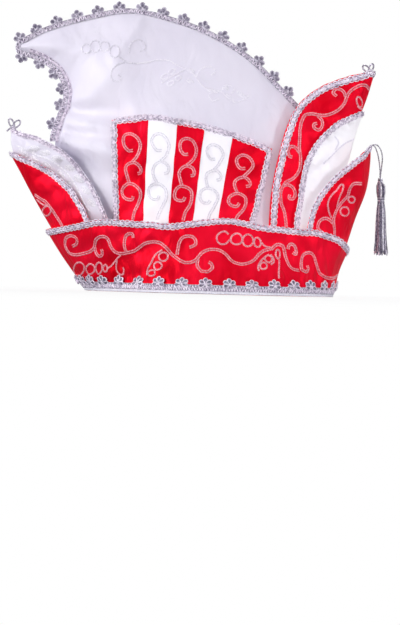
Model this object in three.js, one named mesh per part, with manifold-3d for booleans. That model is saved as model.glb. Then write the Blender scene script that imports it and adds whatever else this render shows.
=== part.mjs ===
// Carnival prince hat: hooked satin crown, folded peaks, striped side panels, turn-up band and silver trim
import * as THREE from "three";
import * as BufferGeometryUtils from "three/addons/utils/BufferGeometryUtils.js";
import Module from "manifold-3d";

const wasm = await Module();
wasm.setup();

// Main sizes in mm: x runs from the front to the back, z up from the base, y across
const frameShiftX = 20.3;
const sideSpread = 92;
const sideFullness = 0.85;
const frontNose = { spreadHigh: 0.95, spreadLow: 0.95, fullness: 0.9 };
const backNose = { spreadHigh: 2.2, spreadLow: 4.2, fullness: 0.65 };
const noseSpreadFade = 45;
const tipTaper = { lowZ: 60, highZ: 110, least: 0.65 };
const cornerSharpness = 4;
const crownWall = 2;
const ridgeDepth = 7;
const seamDepth = 3;
const leastHalfWidth = 0.4;
const clothWall = 1.5;
const seamGap = 0.5;
const braidGap = 0.45;
const braidWidth = 4.8;
const braidThickness = 1;
const pocketBottom = 15;
const liftRun = 6;

// Colours of the cloth and the metallic thread
const whiteSatin = { color: 0xf2f0f6, roughness: 0.45, metalness: 0 };
const redSatin = { color: 0xd01020, roughness: 0.45, metalness: 0 };
const silverThread = { color: 0xc4c2cc, roughness: 0.4, metalness: 0.35 };

// Crown: ridge from the hook's tip to the back, and the seam from the tip under the hook to the front base
const ridgeRows = [
  { x: -175.5, z: 219.5 },
  { x: -150, z: 232.5 },
  { x: -114, z: 243.5 },
  { x: -78, z: 250 },
  { x: -42, z: 243.5 },
  { x: -5.5, z: 231 },
  { x: 31, z: 209 },
  { x: 58, z: 183 },
  { x: 75.5, z: 165.5 },
];
const frontSeamRows = [
  { x: -175.5, z: 215 },
  { x: -156.5, z: 209 },
  { x: -140, z: 197.5 },
  { x: -132, z: 182 },
  { x: -132.5, z: 168 },
  { x: -138, z: 153 },
  { x: -142.5, z: 136 },
  { x: -139, z: 110 },
  { x: -127, z: 70 },
  { x: -113, z: 30 },
  { x: -101, z: 0 },
];
const backSeamRows = [
  { x: 75.5, z: 165.5 },
  { x: 85, z: 105 },
  { x: 93, z: 50 },
  { x: 100.5, z: 0 },
];

// Soft folds pressed into the crown, each from one point to another
const foldRows = [
  { fromX: -132, fromZ: 166, toX: -62, toZ: 172, width: 11, depth: 3 },
  { fromX: -138, fromZ: 146, toX: -98, toZ: 96, width: 10, depth: 3.5 },
  { fromX: -70, fromZ: 196, toX: 10, toZ: 186, width: 15, depth: 2 },
];

// Crest that the back peaks lean to where they run out past the ridge
const backCrestRows = [
  { x: 20, z: 224 },
  { x: 45, z: 208 },
  { x: 76, z: 192 },
  { x: 110, z: 205.5 },
  { x: 145, z: 207 },
];

// Folded peaks: the nose is the fold on the centre line and the edge is the free edge, both from the tip down
const frontInnerRows = {
  lift: 0.5,
  nose: [
    { x: -181, z: 143 },
    { x: -180, z: 128 },
    { x: -174, z: 114 },
    { x: -157, z: 85 },
    { x: -138.5, z: 56 },
    { x: -123.5, z: 34 },
    { x: -111.5, z: 15 },
    { x: -103, z: 2.8 },
  ],
  edge: [
    { x: -174.5, z: 141 },
    { x: -147, z: 132 },
    { x: -129, z: 120.5 },
    { x: -110, z: 98.5 },
    { x: -96, z: 73 },
    { x: -91.5, z: 60 },
    { x: -88, z: 38 },
    { x: -86.5, z: 2.8 },
  ],
};
const frontOuterRows = {
  lift: 3.1,
  nose: [
    { x: -181.5, z: 122 },
    { x: -171.5, z: 105 },
    { x: -162, z: 88 },
    { x: -143.5, z: 57.5 },
    { x: -128, z: 34 },
    { x: -116.5, z: 18 },
    { x: -106.5, z: 2.8 },
  ],
  edge: [
    { x: -174, z: 120 },
    { x: -146.5, z: 107.5 },
    { x: -128, z: 92 },
    { x: -114, z: 73 },
    { x: -107.5, z: 58 },
    { x: -103, z: 38 },
    { x: -99.5, z: 2.8 },
  ],
};
const backInnerRows = {
  lift: 0.5,
  nose: [
    { x: 142, z: 203.5 },
    { x: 135.5, z: 180 },
    { x: 129, z: 162 },
    { x: 122.5, z: 146 },
    { x: 115, z: 124 },
    { x: 109, z: 95 },
    { x: 105, z: 55 },
    { x: 101.5, z: 2 },
  ],
  edge: [
    { x: 135, z: 202 },
    { x: 116.5, z: 197 },
    { x: 94.5, z: 187.5 },
    { x: 77, z: 173.5 },
    { x: 66.5, z: 155.5 },
    { x: 58.5, z: 126.5 },
    { x: 53, z: 95 },
    { x: 51, z: 60 },
    { x: 52, z: 2 },
  ],
};
const backMiddleRows = {
  lift: 3.1,
  nose: [
    { x: 132.5, z: 166.5 },
    { x: 126, z: 146.5 },
    { x: 121.5, z: 127 },
    { x: 116, z: 100 },
    { x: 111, z: 58 },
    { x: 103.7, z: 2 },
  ],
  edge: [
    { x: 126, z: 165 },
    { x: 109, z: 155.5 },
    { x: 94, z: 141 },
    { x: 82, z: 118 },
    { x: 77.5, z: 91 },
    { x: 74, z: 60 },
    { x: 74, z: 2 },
  ],
};
const backOuterRows = {
  lift: 5.7,
  nose: [
    { x: 140, z: 136 },
    { x: 140, z: 122 },
    { x: 137, z: 97 },
    { x: 128, z: 71.5 },
    { x: 119.5, z: 44 },
    { x: 109.5, z: 18 },
    { x: 106, z: 2 },
  ],
  edge: [
    { x: 134.5, z: 129 },
    { x: 123.5, z: 120.5 },
    { x: 105.5, z: 104.5 },
    { x: 91, z: 82.5 },
    { x: 85, z: 58 },
    { x: 85, z: 2 },
  ],
};

// Side panel: free top edge, and the stripe borders at the top and at the band
const panelTopRows = [
  { x: -91, z: 153 },
  { x: -58, z: 157 },
  { x: -21.5, z: 152.5 },
  { x: 14.5, z: 144 },
  { x: 52, z: 131 },
];
const stripeBorderRows = [
  { topX: -91, lowX: -85.5 },
  { topX: -58.5, lowX: -60.5 },
  { topX: -32.5, lowX: -38 },
  { topX: -8.5, lowX: -16.5 },
  { topX: 17, lowX: 5 },
  { topX: 52, lowX: 37.5 },
];
const stripeLowZ = 64;
const stripeGap = 0.3;
const panelLift = 0.9;
const panelBraidClear = 1.6;

// Band: free top edge, folds on the centre line at the front and the back, and how far it stands off the crown
const bandTopRows = [
  { x: -147.5, z: 54.5 },
  { x: -118, z: 60.5 },
  { x: -100, z: 64 },
  { x: -64, z: 63 },
  { x: -38, z: 61.5 },
  { x: 7.5, z: 67 },
  { x: 44, z: 61 },
  { x: 80, z: 59 },
  { x: 98, z: 54.5 },
  { x: 122.5, z: 43 },
];
const bandFrontRows = [
  { x: -147.5, z: 54.5 },
  { x: -133.5, z: 33 },
  { x: -116.5, z: 10 },
  { x: -108.5, z: 0 },
];
const bandBackRows = [
  { x: 122.5, z: 43 },
  { x: 115, z: 24.5 },
  { x: 111.5, z: 10 },
  { x: 108, z: 0 },
];
const bandLiftRows = [
  { x: -150, z: 6 },
  { x: -80, z: 5 },
  { x: -20, z: 3.6 },
  { x: 40, z: 4.6 },
  { x: 84, z: 9 },
  { x: 125, z: 9.6 },
];
const bandFlange = 1.6;
const bandClear = 1;
const rimGap = 0.7;
const bandColumns = 16;

// Flower gimp on the base and on the crest
const hemBottom = 0.4;
const hemGap = 0.85;
const hemBraidHeight = 8;
const hemFlowerReach = 5.5;
const hemRowHeight = 14.2;
const hemThickness = 1.1;
const crestBraidReach = 5.2;
const crestFlowerReach = 5.6;
const crestHalfThickness = 1.6;
const flowerShare = 0.55;
const stationsPerFlower = 4;

// Tassel and its doubled cord
const cordDiameter = 1.2;
const cordSides = 8;
const cordSteps = 12;
const cordRowsA = [
  { x: 141, y: -1.1, z: 137 },
  { x: 144.4, y: -1.2, z: 136.9 },
  { x: 147.4, y: -1.1, z: 131.2 },
  { x: 149.6, y: -1, z: 121.5 },
  { x: 150.4, y: -0.9, z: 115 },
  { x: 150.6, y: -0.8, z: 108.4 },
];
const cordRowsB = [
  { x: 141, y: 1.1, z: 137 },
  { x: 146.6, y: 1.2, z: 138 },
  { x: 150.4, y: 1.1, z: 134 },
  { x: 152.2, y: 1, z: 127.5 },
  { x: 151.8, y: 0.9, z: 118 },
  { x: 151, y: 0.8, z: 108.4 },
];
const tasselRows = [
  { x: 150.8, z: 108, radiusX: 1.9, radiusY: 2.1, lobe: 0 },
  { x: 151, z: 103.5, radiusX: 2.2, radiusY: 2.4, lobe: 0 },
  { x: 151.6, z: 101, radiusX: 3.8, radiusY: 4.4, lobe: 0.1 },
  { x: 152, z: 95, radiusX: 4, radiusY: 4.8, lobe: 0.14 },
  { x: 152, z: 91, radiusX: 3.3, radiusY: 3.6, lobe: 0.06 },
  { x: 152, z: 87.5, radiusX: 3, radiusY: 3.3, lobe: 0.04 },
  { x: 152.2, z: 80, radiusX: 3.7, radiusY: 4.4, lobe: 0.12 },
  { x: 152.5, z: 60, radiusX: 4.6, radiusY: 7, lobe: 0.16 },
  { x: 153, z: 46, radiusX: 5.6, radiusY: 8.8, lobe: 0.18 },
  { x: 153.2, z: 38, radiusX: 6.2, radiusY: 9.6, lobe: 0.2 },
];
const tasselSides = 18;
const tasselLobes = 6;

// Bows of thin cord that stand on the front and the back tips
const bowCord = 1.3;
const bowSides = 5;
const bowSteps = 7;
const frontBow = {
  knot: { x: -180.3, z: 145, radius: 1.6 },
  loops: [
    { endX: -184.4, endZ: 154.6, endY: -2.6, width: 3 },
    { endX: -175.4, endZ: 152.8, endY: 2.6, width: 3.4 },
  ],
};
const backBow = {
  knot: { x: 138.6, z: 203.4, radius: 2.6 },
  loops: [
    { endX: 131.2, endZ: 209.8, endY: -2.4, width: 3.2 },
    { endX: 141.6, endZ: 212.2, endY: 2.4, width: 2.6 },
  ],
};

// Smooth line through table rows, and its fine samples
function lineThrough(rows) {
  const points = rows.map((row) => new THREE.Vector3(row.x, row.y ?? 0, row.z));
  return new THREE.CatmullRomCurve3(points, false, "centripetal");
}

const lineSamples = 64;

function samplesOf(rows) {
  return lineThrough(rows).getSpacedPoints(lineSamples);
}

function heightAt(samples, x) {
  if (x <= samples[0].x) {
    return samples[0].z;
  }
  for (let i = 1; i < samples.length; i += 1) {
    const before = samples[i - 1];
    const after = samples[i];
    if (x <= after.x) {
      const share = (x - before.x) / Math.max(1e-9, after.x - before.x);
      return before.z + share * (after.z - before.z);
    }
  }
  return samples[samples.length - 1].z;
}

// Least distance from a side-view point to a sampled line
function reachTo(samples, x, z) {
  let least = Infinity;
  for (let i = 1; i < samples.length; i += 1) {
    const from = samples[i - 1];
    const runX = samples[i].x - from.x;
    const runZ = samples[i].z - from.z;
    const along = ((x - from.x) * runX + (z - from.z) * runZ) / (runX * runX + runZ * runZ);
    const share = Math.min(1, Math.max(0, along));
    least = Math.min(least, Math.hypot(x - from.x - share * runX, z - from.z - share * runZ));
  }
  return least;
}

// Half width that a folded nose allows at a distance from its fold
function noseWidth(nose, reach, z) {
  const spread = nose.spreadHigh + nose.spreadLow * Math.exp(-Math.max(0, z) / noseSpreadFade);
  return spread * Math.pow(reach, nose.fullness);
}

// Share of that width which a front peak keeps as it draws together towards its tip
function taperAt(z) {
  return 1 - (1 - tipTaper.least) * THREE.MathUtils.smoothstep(z, tipTaper.lowZ, tipTaper.highZ);
}

// Half width of a layer at a side-view point: the smallest of its side slope and its two folded noses
function halfWidth(layer, x, z) {
  const frontReach = reachTo(layer.front, x, z);
  const backReach = reachTo(layer.back, x, z);
  const slope = sideSpread * Math.pow(Math.max(0, 1 - z / heightAt(layer.crest, x)), sideFullness);
  const front = noseWidth(frontNose, frontReach, z) * (layer.tapers ? taperAt(z) : 1);
  const back = noseWidth(backNose, backReach, z);
  const narrowest = Math.min(slope, front, back);
  if (narrowest < 1e-6) {
    return 0;
  }
  const blend = [slope, front, back].map((width) => Math.pow(narrowest / width, cornerSharpness));
  const width = narrowest * Math.pow(blend[0] + blend[1] + blend[2], -1 / cornerSharpness);
  const lift = typeof layer.lift === "function" ? layer.lift(x) : layer.lift;
  return width + lift * Math.min(1, Math.min(frontReach, backReach) / liftRun);
}

function foldDepth(x, z) {
  let depth = 0;
  for (const fold of foldRows) {
    const line = [
      { x: fold.fromX, z: fold.fromZ },
      { x: fold.toX, z: fold.toZ },
    ];
    const off = reachTo(line, x, z) / fold.width;
    depth += fold.depth * Math.exp(-off * off);
  }
  return depth;
}

// Closed solid between an inner and an outer grid of points, open or looped along its columns
function shellGeometry(inner, outer, looped) {
  const columns = inner.length;
  const rows = inner[0].length;
  const positions = [];
  const triangles = [];
  const place = (grid) => grid.map((column) => column.map((point) => {
    positions.push(point.x, point.y, point.z);
    return positions.length / 3 - 1;
  }));
  const inside = place(inner);
  const outside = place(outer);
  const quad = (a, b, c, d) => triangles.push(a, b, c, a, c, d);
  const spans = looped ? columns : columns - 1;
  for (let i = 0; i < spans; i += 1) {
    const next = (i + 1) % columns;
    for (let j = 0; j < rows - 1; j += 1) {
      quad(outside[i][j], outside[next][j], outside[next][j + 1], outside[i][j + 1]);
      quad(inside[i][j], inside[i][j + 1], inside[next][j + 1], inside[next][j]);
    }
    const top = rows - 1;
    quad(outside[i][top], outside[next][top], inside[next][top], inside[i][top]);
    quad(inside[i][0], inside[next][0], outside[next][0], outside[i][0]);
  }
  if (!looped) {
    const last = columns - 1;
    for (let j = 0; j < rows - 1; j += 1) {
      quad(inside[0][j], outside[0][j], outside[0][j + 1], inside[0][j + 1]);
      quad(outside[last][j], inside[last][j], inside[last][j + 1], outside[last][j + 1]);
    }
  }
  return closedGeometry(positions, triangles);
}

// Geometry with welded corners, no empty triangles and its faces turned outwards
function closedGeometry(positions, triangles) {
  const raw = new THREE.BufferGeometry();
  raw.setAttribute("position", new THREE.Float32BufferAttribute(positions, 3));
  raw.setIndex(triangles);
  const welded = BufferGeometryUtils.mergeVertices(raw, 1e-3);
  const corners = welded.index.array;
  const points = welded.attributes.position;
  const kept = [];
  let volume = 0;
  const a = new THREE.Vector3();
  const b = new THREE.Vector3();
  const c = new THREE.Vector3();
  for (let i = 0; i < corners.length; i += 3) {
    const [p, q, r] = [corners[i], corners[i + 1], corners[i + 2]];
    if (p !== q && q !== r && p !== r) {
      kept.push(p, q, r);
      a.fromBufferAttribute(points, p);
      b.fromBufferAttribute(points, q);
      c.fromBufferAttribute(points, r);
      volume += a.dot(b.cross(c));
    }
  }
  if (volume < 0) {
    for (let i = 0; i < kept.length; i += 3) {
      [kept[i + 1], kept[i + 2]] = [kept[i + 2], kept[i + 1]];
    }
  }
  welded.setIndex(kept);
  return welded;
}

// Grid of outward normals of a grid of points, looped along its columns or mirrored about the centre plane
function gridNormals(grid, looped, outward) {
  const columns = grid.length;
  const rows = grid[0].length;
  return grid.map((column, i) => column.map((point, j) => {
    const before = looped ? (i + columns - 1) % columns : Math.max(0, i - 1);
    const after = looped ? (i + 1) % columns : Math.min(columns - 1, i + 1);
    const along = new THREE.Vector3().subVectors(grid[after][j], grid[before][j]);
    const up = new THREE.Vector3().subVectors(column[Math.min(rows - 1, j + 1)], column[Math.max(0, j - 1)]);
    return along.cross(up).normalize().multiplyScalar(outward);
  }));
}

function offsetGrid(grid, normals, distance) {
  return grid.map((column, i) => column.map((point, j) => point.clone().addScaledVector(normals[i][j], distance)));
}

function toManifold(geometry) {
  const bare = geometry.clone();
  bare.deleteAttribute("normal");
  bare.deleteAttribute("uv");
  const welded = BufferGeometryUtils.mergeVertices(bare, 1e-4);
  return new wasm.Manifold(new wasm.Mesh({
    numProp: 3,
    vertProperties: new Float32Array(welded.attributes.position.array),
    triVerts: new Uint32Array(welded.index.array),
  }));
}

function fromManifold(solid) {
  const mesh = solid.getMesh();
  const geometry = new THREE.BufferGeometry();
  geometry.setAttribute("position", new THREE.Float32BufferAttribute(mesh.vertProperties, 3));
  geometry.setIndex(Array.from(mesh.triVerts));
  return geometry;
}

const hat = new THREE.Group();

function addPiece(name, geometry, look) {
  const shown = geometry.toNonIndexed();
  shown.translate(frameShiftX, 0, 0);
  shown.computeVertexNormals();
  const mesh = new THREE.Mesh(shown, new THREE.MeshStandardMaterial(look));
  mesh.name = name;
  hat.add(mesh);
}

// Crown: sections from the ridge to the seam or to the base, mirrored, with a smaller form taken out
const ridgeSamples = samplesOf(ridgeRows);
const bandTop = samplesOf(bandTopRows);
const frontSeamSamples = samplesOf(frontSeamRows);
const backSeamSamples = samplesOf(backSeamRows);
const crownLayer = { front: frontSeamSamples, back: backSeamSamples, crest: ridgeSamples, lift: 0 };

const crownSectionRows = [
  { ridge: 0, seam: 0 },
  { ridge: 0.04, seam: 0.04 },
  { ridge: 0.09, seam: 0.085 },
  { ridge: 0.14, seam: 0.13 },
  { ridge: 0.18, seam: 0.17 },
  { ridge: 0.215, seam: 0.205 },
  { ridge: 0.245, seam: 0.24 },
  { ridge: 0.27, seam: 0.275 },
  { ridge: 0.3, seam: 0.32 },
  { ridge: 0.335, seam: 0.38 },
  { ridge: 0.365, seam: 0.45 },
  { ridge: 0.4, seam: 0.57 },
  { ridge: 0.43, seam: 0.71 },
  { ridge: 0.465, seam: 0.86 },
  { ridge: 0.5, seam: 1, baseX: -101 },
  { ridge: 0.54, seam: 1, baseX: -92 },
  { ridge: 0.58, seam: 1, baseX: -75 },
  { ridge: 0.63, seam: 1, baseX: -52 },
  { ridge: 0.69, seam: 1, baseX: -25 },
  { ridge: 0.75, seam: 1, baseX: 5 },
  { ridge: 0.81, seam: 1, baseX: 33 },
  { ridge: 0.88, seam: 1, baseX: 60 },
  { ridge: 0.94, seam: 1, baseX: 82 },
  { ridge: 0.985, seam: 1, baseX: 95 },
  { ridge: 1, seam: 1, baseX: 99.7 },
];
const hollowStart = 0.24;
const hollowEnd = 0.99;
const mostWallStretch = 3;
const mostFoldShare = 0.4;
const crownRowShares = [0, 0.12, 0.27, 0.42, 0.56, 0.69, 0.8, 0.89, 0.95, 1];

// How much wider than thick the slanting wall is across the hat
function wallStretch(x, z) {
  const alongX = halfWidth(crownLayer, x + 1, z) - halfWidth(crownLayer, x - 1, z);
  const alongZ = halfWidth(crownLayer, x, z + 1) - halfWidth(crownLayer, x, z - 1);
  return Math.min(mostWallStretch, Math.hypot(1, alongX / 2, alongZ / 2));
}

function crownSolid(depth, wall, drop) {
  const ridge = lineThrough(ridgeRows);
  const seam = lineThrough(frontSeamRows);
  const [first, last] = wall > 0 ? [hollowStart, hollowEnd] : [0, 1];
  const used = crownSectionRows.filter((row) => row.ridge >= first && row.ridge <= last);
  const sections = used.map((row) => {
    const top = ridge.getPointAt(row.ridge);
    const foot = row.baseX === undefined ? seam.getPointAt(row.seam) : new THREE.Vector3(row.baseX, 0, 0);
    const onSeam = row.baseX === undefined || row.baseX <= frontSeamRows[frontSeamRows.length - 1].x;
    const run = new THREE.Vector3().subVectors(foot, top);
    const start = depth / run.length();
    const end = onSeam && depth > 0 ? 1 - seamDepth / run.length() : 1;
    const side = crownRowShares.map((rowShare) => {
      const share = start + (end - start) * rowShare;
      const point = top.clone().addScaledVector(run, share);
      const plain = halfWidth(crownLayer, point.x, point.z);
      const width = plain - Math.min(foldDepth(point.x, point.z), mostFoldShare * plain);
      const isEdge = wall === 0 && (rowShare === 0 || (rowShare === 1 && onSeam));
      point.y = isEdge ? 0 : Math.max(leastHalfWidth, width - wall * wallStretch(point.x, point.z));
      return point;
    });
    if (drop > 0) {
      const mouth = side[side.length - 1].clone();
      mouth.z = onSeam ? mouth.z : -drop;
      side.push(mouth);
    }
    return side;
  });
  const right = sections;
  const left = sections.map((side) => side.map((point) => new THREE.Vector3(point.x, -point.y, point.z)));
  return shellGeometry(left, right, false);
}

const crownOuter = toManifold(crownSolid(0, 0, 0));
const crownHollow = toManifold(crownSolid(ridgeDepth, crownWall, pocketBottom));
addPiece("crown", fromManifold(crownOuter.subtract(crownHollow)), whiteSatin);

// Folded peak: rows from the free edge on one side round the nose to the free edge on the other
const peakTurnShares = [0.06, 0.22, 0.52, 1];
const peakLegRows = 6;
const peakFootRows = 3;
const peakNoseLag = 1.1;
const leastTurn = 0.35;

function peakSurface(rows, isFront) {
  const nose = lineThrough(rows.nose);
  const edge = lineThrough(rows.edge);
  const layer = {
    front: isFront ? samplesOf(rows.nose) : frontSeamSamples,
    back: isFront ? backSeamSamples : samplesOf(rows.nose),
    crest: isFront ? ridgeSamples : samplesOf(backCrestRows),
    lift: rows.lift,
    tapers: isFront,
  };
  const noseAt = (down) => nose.getPointAt(Math.pow(down, peakNoseLag));
  const pointAt = (down, turn) => {
    const point = noseAt(down).lerp(edge.getPointAt(down), Math.abs(turn));
    point.y = turn === 0 ? 0 : Math.sign(turn) * halfWidth(layer, point.x, point.z);
    return point;
  };
  const braidTurn = (down) => {
    const across = noseAt(down).sub(edge.getPointAt(down));
    const clear = across.cross(edge.getTangentAt(down)).length();
    return Math.max(leastTurn, 1 - braidWidth / clear);
  };
  return { edge, pointAt, braidTurn };
}

// How far down a free edge runs before it goes behind the band
function bandCrossing(edge) {
  const steps = evenSteps(0, 1, lineSamples);
  return steps.find((down) => {
    const point = edge.getPointAt(down);
    return point.z < heightAt(bandTop, point.x) + bandClear;
  });
}

function buildPeak(name, rows, isFront, look) {
  const surface = peakSurface(rows, isFront);
  const tipDown = braidWidth / surface.edge.getLength();
  const legEnd = bandCrossing(surface.edge);
  const downs = [0, ...evenSteps(tipDown, legEnd, peakLegRows), ...evenSteps(legEnd, 1, peakFootRows).slice(1)];
  const grid = downs.map((down) => {
    const turns = peakTurnShares.map((share) => share * surface.braidTurn(down));
    const half = [...turns, 1];
    const round = [...half.map((turn) => -turn).reverse(), 0, ...half];
    return round.map((turn) => surface.pointAt(down, turn));
  });
  const normals = gridNormals(grid, false, isFront ? -1 : 1);
  addPiece(name + "_peak", shellGeometry(grid, offsetGrid(grid, normals, clothWall), false), look);
  addPiece(name + "_braid", peakBraid(grid, normals), silverThread);
}

// Braid on a peak: up one free edge, round the tip and down the other
function peakBraid(grid, normals) {
  const last = grid[0].length - 1;
  const legRows = evenSteps(1, 1 + peakLegRows, peakLegRows);
  const tipTurns = evenSteps(1, last - 1, last - 2);
  const stations = [
    ...legRows.map((row) => ({ edge: [row, 0], inner: [row, 1] })).reverse(),
    { edge: [0, 0], inner: [1, 1] },
    ...tipTurns.map((turn) => ({ edge: [0, turn], inner: [1, turn] })),
    { edge: [0, last], inner: [1, last - 1] },
    ...legRows.map((row) => ({ edge: [row, last], inner: [row, last - 1] })),
  ];
  const layerAt = (distance) => {
    const raised = offsetGrid(grid, normals, distance);
    return stations.map(({ edge, inner }) => [raised[inner[0]][inner[1]], raised[edge[0]][edge[1]]]);
  };
  const low = clothWall + braidGap;
  return shellGeometry(layerAt(low), layerAt(low + braidThickness), false);
}

buildPeak("front_inner", frontInnerRows, true, whiteSatin);
buildPeak("front_outer", frontOuterRows, true, redSatin);
buildPeak("back_inner", backInnerRows, false, redSatin);
buildPeak("back_middle", backMiddleRows, false, whiteSatin);
buildPeak("back_outer", backOuterRows, false, redSatin);

// Side panels: five stripes a side on the crown, and a braid on the three free edges
const panelTop = samplesOf(panelTopRows);
const panelLayer = { ...crownLayer, lift: panelLift };
const panelColumns = 3;
const panelRows = 6;

function borderX(border, share) {
  const first = Math.min(stripeBorderRows.length - 2, Math.floor(border));
  const part = border - first;
  const from = stripeBorderRows[first];
  const to = stripeBorderRows[first + 1];
  const topX = from.topX + part * (to.topX - from.topX);
  const lowX = from.lowX + part * (to.lowX - from.lowX);
  const topZ = heightAt(panelTop, topX);
  const z = pocketBottom + share * (topZ - pocketBottom);
  const rise = (z - stripeLowZ) / (topZ - stripeLowZ);
  return { x: lowX + rise * (topX - lowX), z };
}

function panelPoint(border, share, side) {
  const at = borderX(border, share);
  return new THREE.Vector3(at.x, side * halfWidth(panelLayer, at.x, at.z), at.z);
}

function panelNormal(border, share, side) {
  const probe = 0.01;
  const last = stripeBorderRows.length - 1;
  const along = panelPoint(Math.min(last, border + probe), share, side)
    .sub(panelPoint(Math.max(0, border - probe), share, side));
  const up = panelPoint(border, Math.min(1, share + probe), side)
    .sub(panelPoint(border, Math.max(0, share - probe), side));
  return along.cross(up).normalize().multiplyScalar(-side);
}

function panelGrid(borders, shares, side, distance) {
  return borders.map((border) => shares.map((share) => {
    return panelPoint(border, share, side).addScaledVector(panelNormal(border, share, side), distance);
  }));
}

function evenSteps(from, to, count) {
  return Array.from({ length: count + 1 }, (_, i) => from + ((to - from) * i) / count);
}

const stripeCount = stripeBorderRows.length - 1;
for (const [sideName, side] of [["left", -1], ["right", 1]]) {
  for (let stripe = 0; stripe < stripeCount; stripe += 1) {
    const width = stripeBorderRows[stripe + 1].topX - stripeBorderRows[stripe].topX;
    const trim = stripeGap / 2 / width;
    const borders = evenSteps(stripe + trim, stripe + 1 - trim, panelColumns);
    const shares = evenSteps(0, 1, panelRows);
    const solid = shellGeometry(
      panelGrid(borders, shares, side, 0),
      panelGrid(borders, shares, side, clothWall),
      false,
    );
    addPiece(`${sideName}_stripe_${stripe + 1}`, solid, stripe % 2 === 0 ? redSatin : whiteSatin);
  }
  addPiece(`${sideName}_panel_braid`, panelBraid(side), silverThread);
}

function panelBraid(side) {
  const last = stripeCount;
  const frontInset = braidWidth / (stripeBorderRows[1].topX - stripeBorderRows[0].topX);
  const backInset = braidWidth / (stripeBorderRows[last].topX - stripeBorderRows[last - 1].topX);
  const heightOf = (border) => heightAt(panelTop, borderX(border, 1).x) - pocketBottom;
  const lowShare = (border) => {
    const lowZ = heightAt(bandTop, stripeBorderRows[border].lowX) + panelBraidClear;
    return (lowZ - pocketBottom) / heightOf(border);
  };
  const topShare = (border) => 1 - braidWidth / heightOf(border);
  const stations = [];
  for (const share of evenSteps(lowShare(0), topShare(0), panelRows)) {
    stations.push({ border: 0, share, innerBorder: frontInset, innerShare: share });
  }
  for (const border of evenSteps(0, last, stripeCount * panelColumns)) {
    const innerBorder = frontInset + (border / last) * (last - frontInset - backInset);
    stations.push({ border, share: 1, innerBorder, innerShare: topShare(innerBorder) });
  }
  for (const share of evenSteps(topShare(last), lowShare(last), panelRows)) {
    stations.push({ border: last, share, innerBorder: last - backInset, innerShare: share });
  }
  const raised = (border, share, distance) => {
    return panelPoint(border, share, side).addScaledVector(panelNormal(border, share, side), distance);
  };
  const layerAt = (distance) => stations.map((station) => [
    raised(station.innerBorder, station.innerShare, distance),
    raised(station.border, station.share, distance),
  ]);
  const low = clothWall + braidGap;
  return shellGeometry(layerAt(low), layerAt(low + braidThickness), false);
}

// Band: columns round the base, from a flange that meets the crown up to the wavy free edge
const bandLift = samplesOf(bandLiftRows);
const bandLayer = {
  front: samplesOf(bandFrontRows),
  back: samplesOf(bandBackRows),
  crest: ridgeSamples,
  lift: (x) => heightAt(bandLift, x),
};
const bandBaseFrontX = bandFrontRows[bandFrontRows.length - 1].x;
const bandBaseBackX = bandBackRows[bandBackRows.length - 1].x;
const bandMiddle = 0.52;
const noseBendFade = 6;

function bandPoint(turn, share) {
  const lap = turn - Math.floor(turn);
  const side = lap < 0.5 ? -1 : 1;
  const sweep = (1 - Math.cos(2 * Math.PI * lap)) / 2;
  const baseX = bandBaseFrontX + sweep * (bandBaseBackX - bandBaseFrontX);
  const topX = bandTopRows[0].x + sweep * (bandTopRows[bandTopRows.length - 1].x - bandTopRows[0].x);
  const topZ = heightAt(bandTop, topX);
  const point = new THREE.Vector3(baseX + share * (topX - baseX), 0, share * topZ);
  const frontBend = Math.pow(1 - sweep, noseBendFade);
  const backBend = Math.pow(sweep, noseBendFade);
  point.x += frontBend * noseBend(bandLayer.front, point.z, share, bandBaseFrontX, bandTopRows[0].x);
  point.x += backBend * noseBend(bandLayer.back, point.z, share, bandBaseBackX, topX);
  const onNose = lap === 0 || lap === 0.5;
  point.y = onNose ? 0 : side * halfWidth(bandLayer, point.x, point.z);
  return point;
}

// How far a folded nose lies from the straight line between its two ends at a height
function noseBend(samples, z, share, baseX, topX) {
  const above = Math.max(0, samples.findLastIndex((sample) => sample.z >= z));
  const below = Math.min(samples.length - 1, above + 1);
  const drop = Math.max(1e-9, samples[above].z - samples[below].z);
  const part = Math.min(1, Math.max(0, (samples[above].z - z) / drop));
  const noseX = samples[above].x + part * (samples[below].x - samples[above].x);
  return noseX - (baseX + share * (topX - baseX));
}

function bandNormal(turn, share) {
  const probe = 0.004;
  const along = bandPoint(turn + probe, share).sub(bandPoint(turn - probe + 1, share));
  const up = bandPoint(turn, Math.min(1, share + probe)).sub(bandPoint(turn, Math.max(0, share - probe)));
  return along.cross(up).normalize();
}

function bandRaised(turn, share, distance) {
  return bandPoint(turn, share).addScaledVector(bandNormal(turn, share), distance);
}

function crownRim(turn) {
  const lap = turn - Math.floor(turn);
  const side = lap < 0.5 ? -1 : 1;
  const sweep = (1 - Math.cos(2 * Math.PI * lap)) / 2;
  const frontX = frontSeamRows[frontSeamRows.length - 1].x;
  const backX = backSeamRows[backSeamRows.length - 1].x;
  const x = frontX - rimGap + sweep * (backX - frontX + 2 * rimGap);
  const onNose = lap === 0 || lap === 0.5;
  const inside = Math.min(backX, Math.max(frontX, x));
  return new THREE.Vector3(x, onNose ? 0 : side * (halfWidth(crownLayer, inside, 0) + 2 * rimGap), 0);
}

const bandTurns = evenSteps(0, 1, 2 * bandColumns).slice(0, -1);

function bandShares(turn) {
  const length = bandPoint(turn, 1).distanceTo(bandPoint(turn, 0));
  return [hemRowHeight / bandPoint(turn, 1).z, bandMiddle, 1 - braidWidth / length, 1];
}

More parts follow.
